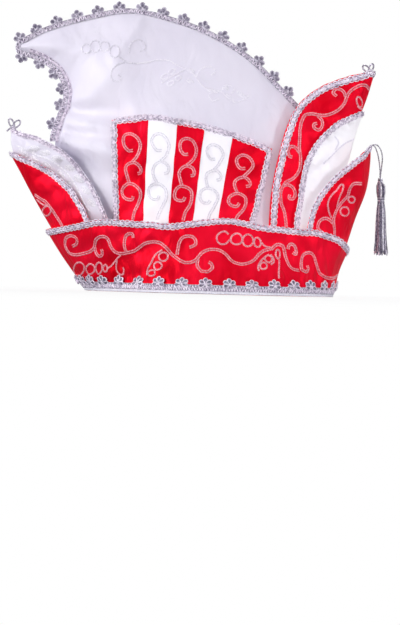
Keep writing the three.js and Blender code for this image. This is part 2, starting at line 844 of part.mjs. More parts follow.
const bandInner = bandTurns.map((turn) => {
  const flange = crownRim(turn);
  const corner = bandPoint(turn, 0);
  flange.z = bandFlange;
  corner.z = bandFlange;
  return [flange, corner, ...bandShares(turn).map((share) => bandPoint(turn, share))];
});
const bandOuter = bandTurns.map((turn) => {
  const corner = bandRaised(turn, 0, clothWall);
  corner.z = 0;
  return [crownRim(turn), corner, ...bandShares(turn).map((share) => bandRaised(turn, share, clothWall))];
});
addPiece("band", shellGeometry(bandInner, bandOuter, true), redSatin);

const bandBraidGrid = (distance) => bandTurns.map((turn) => {
  return bandShares(turn).slice(-2).map((share) => bandRaised(turn, share, distance));
});
const bandBraidLow = clothWall + braidGap;
addPiece(
  "band_braid",
  shellGeometry(bandBraidGrid(bandBraidLow), bandBraidGrid(bandBraidLow + braidThickness), true),
  silverThread,
);

// Height of a flower above its braid at a place along the trim, as a share of a full flower
function flowerRise(place) {
  const off = (place - Math.floor(place) - 0.5) / (flowerShare / 2);
  return Math.abs(off) < 1 ? Math.sqrt(1 - off * off) : 0;
}

// Hem trim: one flower to each column of the band, parallel to the band's face
function hemGrid(distance) {
  const stations = evenSteps(0, bandTurns.length, bandTurns.length * stationsPerFlower).slice(0, -1);
  const lows = bandTurns.map((turn) => {
    const low = bandRaised(turn, 0, distance);
    low.z = 0;
    return low;
  });
  const highs = bandTurns.map((turn) => bandRaised(turn, bandShares(turn)[0], distance));
  return stations.map((station) => {
    const column = Math.floor(station);
    const next = (column + 1) % bandTurns.length;
    const low = lows[column].clone().lerp(lows[next], station - column);
    const high = highs[column].clone().lerp(highs[next], station - column);
    const top = hemBraidHeight + hemFlowerReach * flowerRise(station + 0.5 / stationsPerFlower);
    return [hemBottom, top].map((height) => low.clone().lerp(high, height / high.z));
  });
}

const hemLow = clothWall + hemGap;
addPiece("hem_trim", shellGeometry(hemGrid(hemLow), hemGrid(hemLow + hemThickness), true), silverThread);

// Crest trim: a flat braid set in the crown's seam, with flowers that stand out from it
const crestEndShare = 0.44;
const ridgeFlowerCount = 15;
const hookFlowerCount = 6;
const crestFlowerLead = 0.35;
const tipTurnRows = [
  { degrees: 150, rise: 0 },
  { degrees: 172, rise: 0.6 },
  { degrees: 192, rise: 0.6 },
  { degrees: 214, rise: 0 },
];

function crestStations() {
  const stations = [];
  const addRun = (line, endShare, flowers, isForward) => {
    for (const step of evenSteps(0, 1, flowers * stationsPerFlower)) {
      const share = isForward ? 1 - step : step;
      const tangent = line.getTangentAt(share * endShare).multiplyScalar(isForward ? -1 : 1);
      const out = new THREE.Vector3(tangent.z, 0, -tangent.x);
      const rise = flowerRise(share * flowers + crestFlowerLead);
      stations.push({ point: line.getPointAt(share * endShare), out, rise });
    }
  };
  addRun(lineThrough(ridgeRows), 1, ridgeFlowerCount, true);
  const tip = lineThrough([ridgeRows[0], frontSeamRows[0]]).getPoint(0.5);
  for (const { degrees, rise } of tipTurnRows) {
    const angle = THREE.MathUtils.degToRad(degrees);
    stations.push({ point: tip, out: new THREE.Vector3(Math.cos(angle), 0, Math.sin(angle)), rise });
  }
  addRun(lineThrough(frontSeamRows), crestEndShare, hookFlowerCount, false);
  return stations;
}

const crestGrid = (side) => crestStations().map((station) => {
  const reach = crestBraidReach + crestFlowerReach * station.rise;
  return [seamGap, reach].map((distance) => {
    const point = station.point.clone().addScaledVector(station.out, distance);
    point.y = side * crestHalfThickness;
    return point;
  });
});
addPiece("crest_trim", shellGeometry(crestGrid(-1), crestGrid(1), false), silverThread);

// Cords: a round section swept along a smooth line
function roundSection(diameter, sides) {
  const shape = new THREE.Shape();
  for (let i = 0; i < sides; i += 1) {
    const angle = (2 * Math.PI * i) / sides;
    const [u, v] = [(diameter / 2) * Math.cos(angle), (diameter / 2) * Math.sin(angle)];
    if (i === 0) {
      shape.moveTo(u, v);
    } else {
      shape.lineTo(u, v);
    }
  }
  shape.closePath();
  return shape;
}

function tube(path, diameter, sides, steps) {
  const swept = new THREE.ExtrudeGeometry(roundSection(diameter, sides), {
    steps,
    bevelEnabled: false,
    extrudePath: path,
  });
  swept.deleteAttribute("normal");
  swept.deleteAttribute("uv");
  return BufferGeometryUtils.mergeVertices(swept, 1e-3);
}

addPiece("tassel_cord_a", tube(lineThrough(cordRowsA), cordDiameter, cordSides, cordSteps), silverThread);
addPiece("tassel_cord_b", tube(lineThrough(cordRowsB), cordDiameter, cordSides, cordSteps), silverThread);

// Tassel: lobed rings from the neck down to the ends of the skirt
function tasselGeometry() {
  const positions = [];
  const triangles = [];
  for (const row of tasselRows) {
    for (let i = 0; i < tasselSides; i += 1) {
      const angle = (2 * Math.PI * i) / tasselSides;
      const swell = 1 - row.lobe * (0.5 - 0.5 * Math.cos(tasselLobes * angle));
      const x = row.x + row.radiusX * swell * Math.cos(angle);
      positions.push(x, row.radiusY * swell * Math.sin(angle), row.z);
    }
  }
  const last = tasselRows.length - 1;
  for (let row = 0; row < last; row += 1) {
    for (let i = 0; i < tasselSides; i += 1) {
      const next = (i + 1) % tasselSides;
      const [a, b] = [row * tasselSides + i, row * tasselSides + next];
      triangles.push(a, b, b + tasselSides, a, b + tasselSides, a + tasselSides);
    }
  }
  for (const [row, turn] of [[0, -1], [last, 1]]) {
    const centre = positions.length / 3;
    positions.push(tasselRows[row].x, 0, tasselRows[row].z);
    for (let i = 0; i < tasselSides; i += 1) {
      const here = row * tasselSides + i;
      const next = row * tasselSides + ((i + 1) % tasselSides);
      triangles.push(centre, turn > 0 ? here : next, turn > 0 ? next : here);
    }
  }
  return closedGeometry(positions, triangles);
}

addPiece("tassel", tasselGeometry(), silverThread);

// Bows: a round knot with two loops of cord
function bowLoop(knot, loop) {
  const points = [];
  for (let i = 0; i < bowSteps; i += 1) {
    const angle = (2 * Math.PI * i) / bowSteps;
    const out = (1 - Math.cos(angle)) / 2;
    const across = (Math.sin(angle) * loop.width) / 2;
    const runX = loop.endX - knot.x;
    const runZ = loop.endZ - knot.z;
    const length = Math.hypot(runX, runZ);
    points.push(new THREE.Vector3(
      knot.x + runX * out - (runZ / length) * across,
      loop.endY * out,
      knot.z + runZ * out + (runX / length) * across,
    ));
  }
  return new THREE.CatmullRomCurve3(points, true, "centripetal");
}

function bowGeometry(bow) {
  const knot = new THREE.SphereGeometry(bow.knot.radius, bowSides + 2, bowSides);
  knot.translate(bow.knot.x, 0, bow.knot.z);
  let solid = toManifold(knot);
  for (const loop of bow.loops) {
    solid = solid.add(toManifold(tube(bowLoop(bow.knot, loop), bowCord, bowSides, 2 * bowSteps)));
  }
  return fromManifold(solid);
}

addPiece("front_tip_bow", bowGeometry(frontBow), silverThread);
addPiece("back_tip_bow", bowGeometry(backBow), silverThread);

export default hat;
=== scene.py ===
# Carnival prince hat: satin crown with a hook, folded peaks, striped sides, turn-up band, silver gimp, tassel
import bpy
import bmesh
import math
import numpy as np
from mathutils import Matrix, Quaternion, Vector


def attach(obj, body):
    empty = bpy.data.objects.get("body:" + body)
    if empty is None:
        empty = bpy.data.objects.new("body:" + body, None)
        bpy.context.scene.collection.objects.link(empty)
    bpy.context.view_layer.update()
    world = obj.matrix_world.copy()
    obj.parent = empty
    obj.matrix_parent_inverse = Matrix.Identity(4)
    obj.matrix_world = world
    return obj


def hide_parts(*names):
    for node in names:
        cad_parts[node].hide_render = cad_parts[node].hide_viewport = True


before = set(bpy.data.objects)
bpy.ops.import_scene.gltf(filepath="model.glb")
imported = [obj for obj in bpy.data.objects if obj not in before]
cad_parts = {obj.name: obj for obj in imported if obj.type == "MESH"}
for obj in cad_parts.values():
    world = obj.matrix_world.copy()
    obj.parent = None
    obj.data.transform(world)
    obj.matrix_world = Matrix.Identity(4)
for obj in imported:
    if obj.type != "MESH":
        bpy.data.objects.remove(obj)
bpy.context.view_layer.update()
scene = bpy.context.scene
mm = 0.001
shiftX = 20.3  # the drawing's x starts at the middle of the head, the frame's at the middle of the hat
draw = np.random.default_rng(11)

# Places on the picture, in its 400 by 625 frame, become x and z of the side view in mm
picture = {"size": (400, 625), "mmPerPixel": 0.9, "zero": (209.5, 293.75), "tilt": 1.526}


def fromPicture(spots):
    offset = np.array(spots, float) - picture["zero"]
    turn = math.radians(picture["tilt"])
    x = offset[:, 0] * math.cos(turn) + offset[:, 1] * math.sin(turn)
    z = offset[:, 0] * math.sin(turn) - offset[:, 1] * math.cos(turn)
    return picture["mmPerPixel"] * np.column_stack([x, z])


# Camera: square to the wearer's left side, with the picture's small roll
cameraSetup = {"distance": 5000.0, "sensor": 36.0, "elevation": 0.5}


def addCamera(setup):
    rise = math.radians(setup["elevation"])
    back = Vector((0, -math.cos(rise), math.sin(rise)))
    middle = fromPicture([(picture["size"][0] / 2, picture["size"][1] / 2)])[0]
    data = bpy.data.cameras.new("camera")
    data.sensor_width = setup["sensor"]
    data.lens = setup["sensor"] * setup["distance"] / (picture["size"][1] * picture["mmPerPixel"])
    data.clip_end = 60
    camera = bpy.data.objects.new("camera", data)
    scene.collection.objects.link(camera)
    aim = Vector((middle[0] + shiftX, 0, middle[1]))
    camera.location = (aim + back * setup["distance"]) * mm
    camera.rotation_mode = "QUATERNION"
    roll = Quaternion((0, 0, 1), math.radians(picture["tilt"]))
    camera.rotation_quaternion = (-back).to_track_quat("-Z", "Y") @ roll
    scene.camera = camera


addCamera(cameraSetup)
print("camera set")


# Lines: centripetal curves through a few given points
def curveThrough(rows):
    knots = np.array(rows, float)
    ends = np.vstack([2 * knots[0] - knots[1], knots, 2 * knots[-1] - knots[-2]])
    gaps = np.maximum(1e-6, np.linalg.norm(np.diff(ends, axis=0), axis=1)) ** 0.5
    u = np.linspace(0, 1, 25)[:-1, None]
    runs = []
    for i in range(len(knots) - 1):
        p0, p1, p2, p3 = ends[i:i + 4]
        g0, g1, g2 = gaps[i:i + 3]
        t1 = ((p1 - p0) / g0 - (p2 - p0) / (g0 + g1) + (p2 - p1) / g1) * g1
        t2 = ((p2 - p1) / g1 - (p3 - p1) / (g1 + g2) + (p3 - p2) / g2) * g1
        bend = 3 * (p2 - p1) - 2 * t1 - t2
        runs.append(p1 + t1 * u + bend * u**2 + (2 * (p1 - p2) + t1 + t2) * u**3)
    return np.vstack(runs + [knots[-1:]])


def lengthAlong(line):
    steps = np.linalg.norm(np.diff(line, axis=0), axis=1)
    return np.concatenate([[0], np.cumsum(steps)])


def evenly(line, count, *others):
    run = lengthAlong(line)
    spots = np.linspace(0, run[-1], count)
    made = [np.column_stack([np.interp(spots, run, col) for col in part.T]) for part in (line, *others)]
    return made if others else made[0]


def smoothLine(rows, count=65):
    return evenly(curveThrough(rows), count)


def stepLine(rows, step):
    curve = curveThrough(rows)
    return evenly(curve, max(4, int(lengthAlong(curve)[-1] / step) + 1))


def along(line, share):
    spots = np.linspace(0, 1, len(line))
    return np.stack([np.interp(share, spots, col) for col in line.T], axis=-1)


# Rounds off a line in place, its two ends kept
def soften(line, times):
    for _ in range(times):
        line[1:-1] = (line[:-2] + line[1:-1] * 2 + line[2:]) / 4


def unit(vectors):
    return vectors / np.maximum(1e-9, np.linalg.norm(vectors, axis=-1, keepdims=True))


# Soft form of the hat: half its width at a place of the side view
form = {
    "sideSpread": 92, "sideFullness": 0.85, "noseFade": 45, "corner": 4, "liftRun": 6, "leastLeft": 0.6,
    "frontNose": (0.95, 0.95, 0.9), "backNose": (2.2, 4.2, 0.65),  # spread, more of it at the base, fullness
    "taperLow": 60, "taperHigh": 110, "taperLeast": 0.65,
}
cloth = 1.5


def heightAt(line, x):
    return np.interp(x, line[:, 0], line[:, 1])


def reachTo(line, x, z):
    start, run = line[:-1], np.diff(line, axis=0)
    dx = np.asarray(x)[..., None] - start[:, 0]
    dz = np.asarray(z)[..., None] - start[:, 1]
    share = np.clip((dx * run[:, 0] + dz * run[:, 1]) / (run**2).sum(1), 0, 1)
    return np.sqrt(((dx - share * run[:, 0]) ** 2 + (dz - share * run[:, 1]) ** 2).min(-1))


def noseWidth(nose, reach, z):
    spread, more, fullness = nose
    return (spread + more * np.exp(-np.maximum(0, z) / form["noseFade"])) * reach**fullness


# The front peaks draw together towards their tips
def taperAt(z):
    share = np.clip((z - form["taperLow"]) / (form["taperHigh"] - form["taperLow"]), 0, 1)
    return 1 - (1 - form["taperLeast"]) * share**2 * (3 - 2 * share)


def halfWidth(layer, x, z):
    front, back = reachTo(layer["front"], x, z), reachTo(layer["back"], x, z)
    slope = form["sideSpread"] * np.maximum(0, 1 - z / heightAt(layer["crest"], x)) ** form["sideFullness"]
    frontWidth = noseWidth(form["frontNose"], front, z) * (taperAt(z) if layer.get("tapers") else 1)
    widths = np.stack([slope, frontWidth, noseWidth(form["backNose"], back, z)])
    least = widths.min(0)
    blend = (np.maximum(least, 1e-9) / np.maximum(widths, 1e-9)) ** form["corner"]
    width = least * blend.sum(0) ** (-1 / form["corner"])
    lift = layer["lift"](x, z) * np.minimum(1, np.minimum(front, back) / form["liftRun"])
    return np.maximum(form["leastLeft"] * width, width + lift)  # a dent never takes the whole width


# Points on one side of a layer, raised along its outward normal
def onLayer(layer, x, z, side, rise=0.0):
    probe = 0.25
    slopeX = (halfWidth(layer, x + probe, z) - halfWidth(layer, x - probe, z)) / (2 * probe)
    slopeZ = (halfWidth(layer, x, z + probe) - halfWidth(layer, x, z - probe)) / (2 * probe)
    normal = unit(np.stack([-slopeX, np.ones_like(slopeX), -slopeZ], -1))
    spot = np.stack([x, halfWidth(layer, x, z), z], -1) + normal * np.asarray(rise)[..., None]
    return spot * (1, side, 1), normal * (1, side, 1)


# Normals of a surface that is given by a function of two values, each between its own ends
def normalOf(spots, u, v, probe, endsU, endsV):
    run = spots(np.minimum(endsU[1], u + probe), v) - spots(np.maximum(endsU[0], u - probe), v)
    up = spots(u, np.minimum(endsV[1], v + probe)) - spots(u, np.maximum(endsV[0], v - probe))
    return unit(np.cross(run, up))


# Meshes are gathered as lists of points and faces, then made into one object
sharpAngle = 50


def newBag():
    return {"verts": [], "faces": [], "paint": [], "count": 0}


def addFaces(bag, verts, quads, caps=(), paint=0):
    flat = np.asarray(verts, float).reshape(-1, 3)
    bag["faces"] += (np.asarray(quads) + bag["count"]).tolist()
    bag["faces"] += [[int(i) + bag["count"] for i in cap] for cap in caps]
    bag["paint"] += [paint] * (len(quads) + len(caps))
    bag["verts"].append(flat)
    bag["count"] += len(flat)


def gridQuads(columns, rows, looped=False, ringed=False):
    index = np.arange(columns * rows).reshape(columns, rows)
    if looped:
        index = np.vstack([index, index[:1]])
    if ringed:
        index = np.hstack([index, index[:, :1]])
    return np.stack([index[:-1, :-1], index[1:, :-1], index[1:, 1:], index[:-1, 1:]], -1).reshape(-1, 4)


# One thread: a round or flattened tube along a line, its height towards up; paint picks the piece's material
def addThread(bag, line, up, wide, tall=None, sides=6, looped=False, paint=0):
    line = np.asarray(line, float)
    ahead = np.roll(line, -1, 0) - np.roll(line, 1, 0) if looped else np.gradient(line, axis=0)
    across = unit(np.cross(ahead, np.broadcast_to(up, line.shape)))
    lift = unit(np.cross(across, ahead))
    turn = 2 * np.pi * (np.arange(sides) + 0.5) / sides
    halfWide = np.broadcast_to(wide, len(line))[:, None, None]
    halfTall = np.broadcast_to(wide if tall is None else tall, len(line))[:, None, None]
    ring = across[:, None] * np.cos(turn)[:, None] * halfWide
    ring = ring + lift[:, None] * np.sin(turn)[:, None] * halfTall
    last = (len(line) - 1) * sides
    caps = () if looped else (range(sides), range(last + sides - 1, last - 1, -1))
    addFaces(bag, line[:, None] + ring, gridQuads(len(line), sides, looped, True), caps, paint)


# Cloth wall between its face and its back, two grids of the same shape
def addWall(bag, face, back, looped=False):
    columns, rows = face.shape[:2]
    count = columns * rows
    quads = gridQuads(columns, rows, looped)
    index = np.arange(count).reshape(columns, rows)
    if looped:
        index = np.vstack([index, index[:1]])
    rims = [(index[1:, 0], index[:-1, 0]), (index[:-1, -1], index[1:, -1])]
    if not looped:
        rims += [(index[0, :-1], index[0, 1:]), (index[-1, 1:], index[-1, :-1])]
    sides = [np.stack([a, b, b + count, a + count], -1) for a, b in rims]
    addFaces(bag, np.stack([face, back]), np.vstack([quads, quads[:, ::-1] + count, *sides]))


def gridNormals(grid):
    return unit(np.cross(np.gradient(grid, axis=0), np.gradient(grid, axis=1)))


def makePiece(name, bag, materials, slot="silver_thread", nodes=(), weld=False):
    mesh = bpy.data.meshes.new(name)
    verts = (np.vstack(bag["verts"]) + (shiftX, 0, 0)) * mm
    mesh.from_pydata(verts.tolist(), [], bag["faces"])
    mesh.polygons.foreach_set("material_index", bag["paint"])
    if weld:
        work = bmesh.new()
        work.from_mesh(mesh)
        bmesh.ops.remove_doubles(work, verts=work.verts, dist=2e-6)
        bmesh.ops.dissolve_degenerate(work, edges=work.edges, dist=1e-7)
        bmesh.ops.recalc_face_normals(work, faces=work.faces)
        work.to_mesh(mesh)
        work.free()
    for material in materials if isinstance(materials, tuple) else (materials,):
        mesh.materials.append(material)
    mesh.polygons.foreach_set("use_smooth", np.ones(len(mesh.polygons), bool))
    mesh.set_sharp_from_angle(angle=math.radians(sharpAngle))
    piece = bpy.data.objects.new(name, mesh)
    scene.collection.objects.link(piece)
    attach(piece, "root")
    if nodes:
        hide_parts(*nodes)
    return piece


# Materials: each node takes its inputs as values or as links from another node
def setInputs(tree, node, inputs):
    for name, value in inputs.items():
        if isinstance(value, bpy.types.NodeSocket):
            tree.links.new(value, node.inputs[name])
        else:
            node.inputs[name].default_value = value


def addNode(tree, kind, output, inputs, **settings):
    node = tree.nodes.new("ShaderNode" + kind)
    for name, value in settings.items():
        setattr(node, name, value)
    setInputs(tree, node, inputs)
    return node.outputs[output]


def newMaterial(name):
    material = bpy.data.materials.new(name)
    material.use_nodes = True
    tree = material.node_tree
    return material, tree, tree.nodes["Principled BSDF"], addNode(tree, "TexCoord", "Object", {})


def addNoise(tree, place, scale, detail=2.0, stretch=None, swirl=0.0):
    if stretch:
        place = addNode(tree, "Mapping", "Vector", {"Scale": stretch, "Vector": place})
    inputs = {"Scale": scale, "Detail": detail, "Distortion": swirl, "Vector": place}
    return addNode(tree, "TexNoise", "Fac", inputs)


def addRamp(tree, source, stops):
    ramp = tree.nodes.new("ShaderNodeValToRGB")
    for element, (spot, colour) in zip(ramp.color_ramp.elements, stops):
        element.position = spot
        element.color = (*colour, 1)
    tree.links.new(source, ramp.inputs["Fac"])
    return ramp.outputs["Color"]


# Satin: soft colour drift, long creases and a fine twill
def satin(name, deep, bright, roughness, gleam, gleamTint, crease=0.5, metallic=0.0):
    material, tree, shader, place = newMaterial(name)
    drift = addNoise(tree, place, 22, 2.0, (1, 1, 0.55))
    creases = addNoise(tree, place, 46, 2.5, (1, 1, 0.4), 1.2)
    twill = addNode(tree, "TexWave", "Fac", {"Scale": 420, "Distortion": 1.2, "Vector": place})
    soft = addNode(tree, "Bump", "Normal", {"Strength": crease, "Distance": 0.004, "Height": creases})
    woven = {"Strength": 0.05, "Distance": 0.0002, "Height": twill, "Normal": soft}
    gloss = {"Value": creases, "To Min": roughness - 0.07, "To Max": roughness + 0.1}
    setInputs(tree, shader, {
        "Base Color": addRamp(tree, drift, [(0.32, deep), (0.68, bright)]), "Metallic": metallic,
        "Normal": addNode(tree, "Bump", "Normal", woven),
        "Roughness": addNode(tree, "MapRange", "Result", gloss),
        "Specular IOR Level": gleam, "Specular Tint": (*gleamTint, 1),
    })
    return material


# Metallic thread: dark and bright flecks
def thread(name, stops, metallic, roughness, fleck=900):
    material, tree, shader, place = newMaterial(name)
    flecks = addNoise(tree, place, fleck)
    gloss = {"Value": flecks, "To Min": roughness - 0.1, "To Max": roughness + 0.15}
    grain = {"Strength": 0.35, "Distance": 0.0004, "Height": flecks}
    setInputs(tree, shader, {
        "Base Color": addRamp(tree, flecks, stops), "Metallic": metallic,
        "Roughness": addNode(tree, "MapRange", "Result", gloss),
        "Normal": addNode(tree, "Bump", "Normal", grain),
    })
    return material


# Darker, lavender copy of the white satin, on the crown and front white peak: its tint and depth are painted
# shade
whiteSatinShadedCopy = satin("white_satin", (0.69, 0.655, 0.77), (0.77, 0.735, 0.84), 0.44, 0.5, (1, 1, 1))
# Brighter copy of the same white satin, on the white stripes and back white peak: painted light against the
# shade near the band and peaks
whiteSatinLitCopy = satin("white_satin_lit_copy", (0.92, 0.89, 0.96), (0.98, 0.96, 1.0), 0.34, 0.6, (1, 1, 1))
redSatin = satin("red_satin", (0.66, 0.0, 0.01), (0.98, 0.006, 0.035), 0.42, 0.35, (1, 0.1, 0.14), 0.75, 0.35)
silver = thread("silver_gimp", [(0.36, (0.46, 0.39, 0.52)), (0.58, (0.92, 0.84, 0.95))], 0.2, 0.38, 420)
greyGimp = thread("grey_gimp", [(0.38, (0.1, 0.085, 0.14)), (0.62, (0.36, 0.33, 0.42))], 0.3, 0.42, 520)
mistGimp = thread("mist_gimp", [(0.38, (0.25, 0.22, 0.3)), (0.62, (0.7, 0.66, 0.76))], 0.3, 0.4, 520)
cordSilver = thread("silver_cord", [(0.34, (0.07, 0.06, 0.1)), (0.66, (0.62, 0.58, 0.68))], 0.4, 0.34)
roseThread = thread("stitch_on_red", [(0.36, (0.6, 0.13, 0.18)), (0.62, (0.9, 0.42, 0.47))], 0.1, 0.42)
greyThread = thread("stitch_on_white", [(0.36, (0.66, 0.64, 0.72)), (0.62, (0.87, 0.84, 0.91))], 0.1, 0.42)
paleThread = thread("stitch_on_crown", [(0.36, (0.62, 0.59, 0.69)), (0.62, (0.82, 0.79, 0.88))], 0.1, 0.42)
whiteThread = thread("white_stitch", [(0.36, (0.72, 0.69, 0.8)), (0.62, (0.86, 0.83, 0.91))], 0.05, 0.4)
tinsel = thread("tinsel", [(0.3, (0.25, 0.22, 0.3)), (0.64, (0.9, 0.87, 0.94))], 0.4, 0.3, 700)
# Near-black thread: painted shade, on the tassel's dark strands and its core
paintedShadeThread = thread("painted_shade_thread", [(0.36, (0.03, 0.025, 0.05)), (0.64, (0.2, 0.17, 0.25))], 0.3, 0.4)
print("materials made")

# Cords of the tassel: two twisted plies each, from the outer back tip down into the tassel's head
cordSpec = {"diameter": 1.2, "ply": 0.34, "pitch": 3.2, "step": 0.4, "headX": 151.8, "headZ": 95}
cordRows = {
    "a": [(141, -1.1, 137), (144.4, -1.2, 136.9), (147.4, -1.1, 131.2), (149.6, -1, 121.5),
          (150.4, -0.9, 115), (150.6, -0.8, 108.4)],
    "b": [(141, 1.1, 137), (146.6, 1.2, 138), (150.4, 1.1, 134), (152.2, 1, 127.5),
          (151.8, 0.9, 118), (151, 0.8, 108.4)],
}


def addPlies(bag, line, spec):
    run = lengthAlong(line)
    ahead = unit(np.gradient(line, axis=0))
    side = unit(np.cross(ahead, (0, 1, 0)))
    other = np.cross(ahead, side)
    off = spec["diameter"] / 2 - spec["ply"]
    for start in (0, np.pi):
        turn = (2 * np.pi * run / spec["pitch"] + start)[:, None]
        addThread(bag, line + off * (np.cos(turn) * side + np.sin(turn) * other), side, spec["ply"])


def makeCords(spec):
    made = []
    for name, rows in cordRows.items():
        last = (spec["headX"], rows[-1][1] * 0.6, spec["headZ"])
        line = stepLine(rows + [last], spec["step"])
        bag = newBag()
        addPlies(bag, line, spec)
        node = f"tassel_cord_{name}"
        piece = makePiece(f"{node}_twist", bag, cordSilver, nodes=[node])
        path = (line + (shiftX, 0, 0)) * mm
        made.append((piece, path, lengthAlong(path)[-1]))
    return made


cords = makeCords(cordSpec)
print("cords made")

# Tassel: looped head with two wraps, and a skirt of strands round a lobed core
tasselSpec = {"strands": 34, "strand": 0.8, "loops": 11, "wrap": 0.6, "lobes": 6, "sides": 36, "core": 0.72,
              "skirtZ": 88.5, "endZ": 38.4, "uneven": 5.5, "headZ": 104, "neckZ": 87.5, "coreZ": (107.5, 60),
              "pinch": (0.32, 5), "headPinch": (0.22, 3), "headShare": 0.9}
tasselPaint = (0, 1, 0, 2)  # bright, dark, bright and grey strands by turns; the dark ones are painted shade between the strands
tasselRows = [  # x, z, radius along x, radius along y, depth of the lobes
    (150.8, 108, 1.9, 2.1, 0), (151, 103.5, 2.2, 2.4, 0), (151.6, 101, 3.8, 4.4, 0.1),
    (152, 95, 4, 4.8, 0.14),
    (152, 91, 3.3, 3.6, 0.06), (152, 87.5, 3, 3.3, 0.04), (152.2, 80, 3.7, 4.4, 0.12),
    (152.5, 60, 4.6, 7, 0.16),
    (153, 46, 5.6, 8.8, 0.18), (153.2, 38, 6.2, 9.6, 0.2),
]


def tasselAt(z):
    rows = np.array(tasselRows)[::-1]
    return [np.interp(z, rows[:, 1], rows[:, k]) for k in (0, 2, 3, 4)]


def tasselPoint(z, turn, share=1.0):
    x, radiusX, radiusY, lobe = tasselAt(z)
    swell = share * (1 - lobe * (0.5 - 0.5 * np.cos(tasselSpec["lobes"] * turn)))
    return np.stack([x + radiusX * swell * np.cos(turn), radiusY * swell * np.sin(turn), z + 0 * turn], -1)


def makeTassel(spec):
    bag = newBag()
    heights = np.linspace(*spec["coreZ"], 30)
    turns = np.linspace(0, 2 * np.pi, spec["sides"], endpoint=False)
    core = tasselPoint(heights[:, None], turns[None, :], spec["core"])
    last = (len(heights) - 1) * spec["sides"]
    caps = (range(spec["sides"]), range(last + spec["sides"] - 1, last - 1, -1))
    # the core takes the near-black thread: painted shade seen between the strands
    addFaces(bag, core, gridQuads(len(heights), spec["sides"], False, True), caps, 1)
    for i in range(spec["strands"]):
        turn = 2 * np.pi * (i + draw.uniform(-0.3, 0.3)) / spec["strands"]
        share = draw.uniform(0.7, 1.0)
        splay = draw.uniform(-0.12, 0.22)
        z = np.linspace(spec["skirtZ"], spec["endZ"] + draw.uniform(0, spec["uneven"]), 26)
        fall = spec["skirtZ"] - z
        low = fall / (spec["skirtZ"] - spec["endZ"])
        sway = 0.09 * np.sin(fall / draw.uniform(7, 12) + draw.uniform(0, 6))
        drawn = 1 - spec["pinch"][0] * np.exp(-fall / spec["pinch"][1])  # the wrap draws the strands together
        line = tasselPoint(z, turn + sway * low, drawn * share * (1 + splay * low))
        half = spec["strand"] * draw.uniform(0.75, 1.15)
        addThread(bag, line, (math.cos(turn), math.sin(turn), 0), half, sides=5, paint=tasselPaint[i % 4])
    for i in range(spec["loops"]):
        turn = 2 * np.pi * (i + draw.uniform(-0.2, 0.2)) / spec["loops"]
        z = np.linspace(spec["headZ"], spec["neckZ"], 18)
        high = z - spec["neckZ"]
        bulge = 0.25 * np.sin(high / high[0] * np.pi)
        drawn = spec["headShare"] - spec["headPinch"][0] * np.exp(-high / spec["headPinch"][1])
        line = tasselPoint(z, turn + bulge, drawn)
        addThread(bag, line, (math.cos(turn), math.sin(turn), 0), 0.95, 0.8, paint=tasselPaint[i % 4])
    for top, count in ((107.4, 5), (90.2, 4)):
        for k in range(count):
            z = np.full(len(turns), top - k * 2 * spec["wrap"])
            wrap = tasselPoint(z, turns, spec["headShare"])
            addThread(bag, wrap, (0, 0, 1), spec["wrap"], looped=True, paint=k % 2 * 2)
    return makePiece("tassel_strands", bag, (tinsel, paintedShadeThread, greyGimp), nodes=["tassel"])


tassel = makeTassel(tasselSpec)
print("tassel made")

# Crown: one hooked satin form, open at the base
ridgeLine = smoothLine([(-175.5, 219.5), (-150, 232.5), (-114, 243.5), (-78, 250), (-42, 243.5),
                        (-5.5, 231), (31, 209), (58, 183), (75.5, 165.5)])
seamLine = smoothLine([(-175.5, 215), (-156.5, 209), (-140, 197.5), (-132, 182), (-132.5, 168), (-138, 153),
                       (-142.5, 136), (-139, 110), (-127, 70), (-113, 30), (-101, 0)])
backSeam = smoothLine([(75.5, 165.5), (85, 105), (93, 50), (100.5, 0)])
crownSpec = {"columns": 170, "rows": 64, "wall": 1.8, "baseFront": -101, "baseBack": 100.5, "foot": 1.7}
folds = [  # start and end on the picture, width at both ends, depth in mm, below zero where the cloth bulges
    ((67, 108), (118, 117), 4, 12, 5.8), ((61, 120), (112, 128), 3, 7, -3.4), ((60, 131), (112, 139),
                                                                               3, 7, 4.4),
    ((60, 142), (112, 150), 3, 7, -3.2), ((62, 152), (112, 178), 4, 10, 4.8), ((78, 103), (130, 62),
                                                                               10, 16, -3.2),
    ((118, 100), (165, 50), 12, 18, 1.4), ((150, 88), (235, 96), 16, 16, 2), ((250, 95), (262, 150),
                                                                              10, 10, 1.6),
    ((147, 10), (116, 58), 7, 6, -3.2), ((168, 14), (138, 62), 14, 16, 2),
]


def foldDepth(x, z):
    depth = 0
    for start, end, fromWidth, toWidth, deep in folds:
        line = fromPicture([start, end])
        run = line[1] - line[0]
        share = np.clip(((x - line[0, 0]) * run[0] + (z - line[0, 1]) * run[1]) / (run @ run), 0, 1)
        width = fromWidth + (toWidth - fromWidth) * share
        depth = depth + deep * np.exp(-((reachTo(line, x, z) / width) ** 2))
    return depth


# Small uneven waves of hand-sewn satin, shared by all layers so that they stay parallel
waves = [(13, 0.5, 0.3, 0.2), (19, 2.1, 0.5, 1.7), (27, 1.2, 0.55, 0.4), (9, 2.7, 0.14, 2.9)]


def ruffle(x, z):
    total = 0
    for length, way, height, start in waves:
        onward = x * math.cos(way) + z * math.sin(way)
        sideways = z * math.cos(way) - x * math.sin(way)
        total = total + height * np.sin(2 * np.pi * onward / length + start + 1.5 * np.sin(sideways / length))
    return total


crownLayer = {"front": seamLine, "back": backSeam, "crest": ridgeLine,
              "lift": lambda x, z: 0.5 * ruffle(x, z) - foldDepth(x, z)}
plainCrown = {**crownLayer, "lift": lambda x, z: 0}


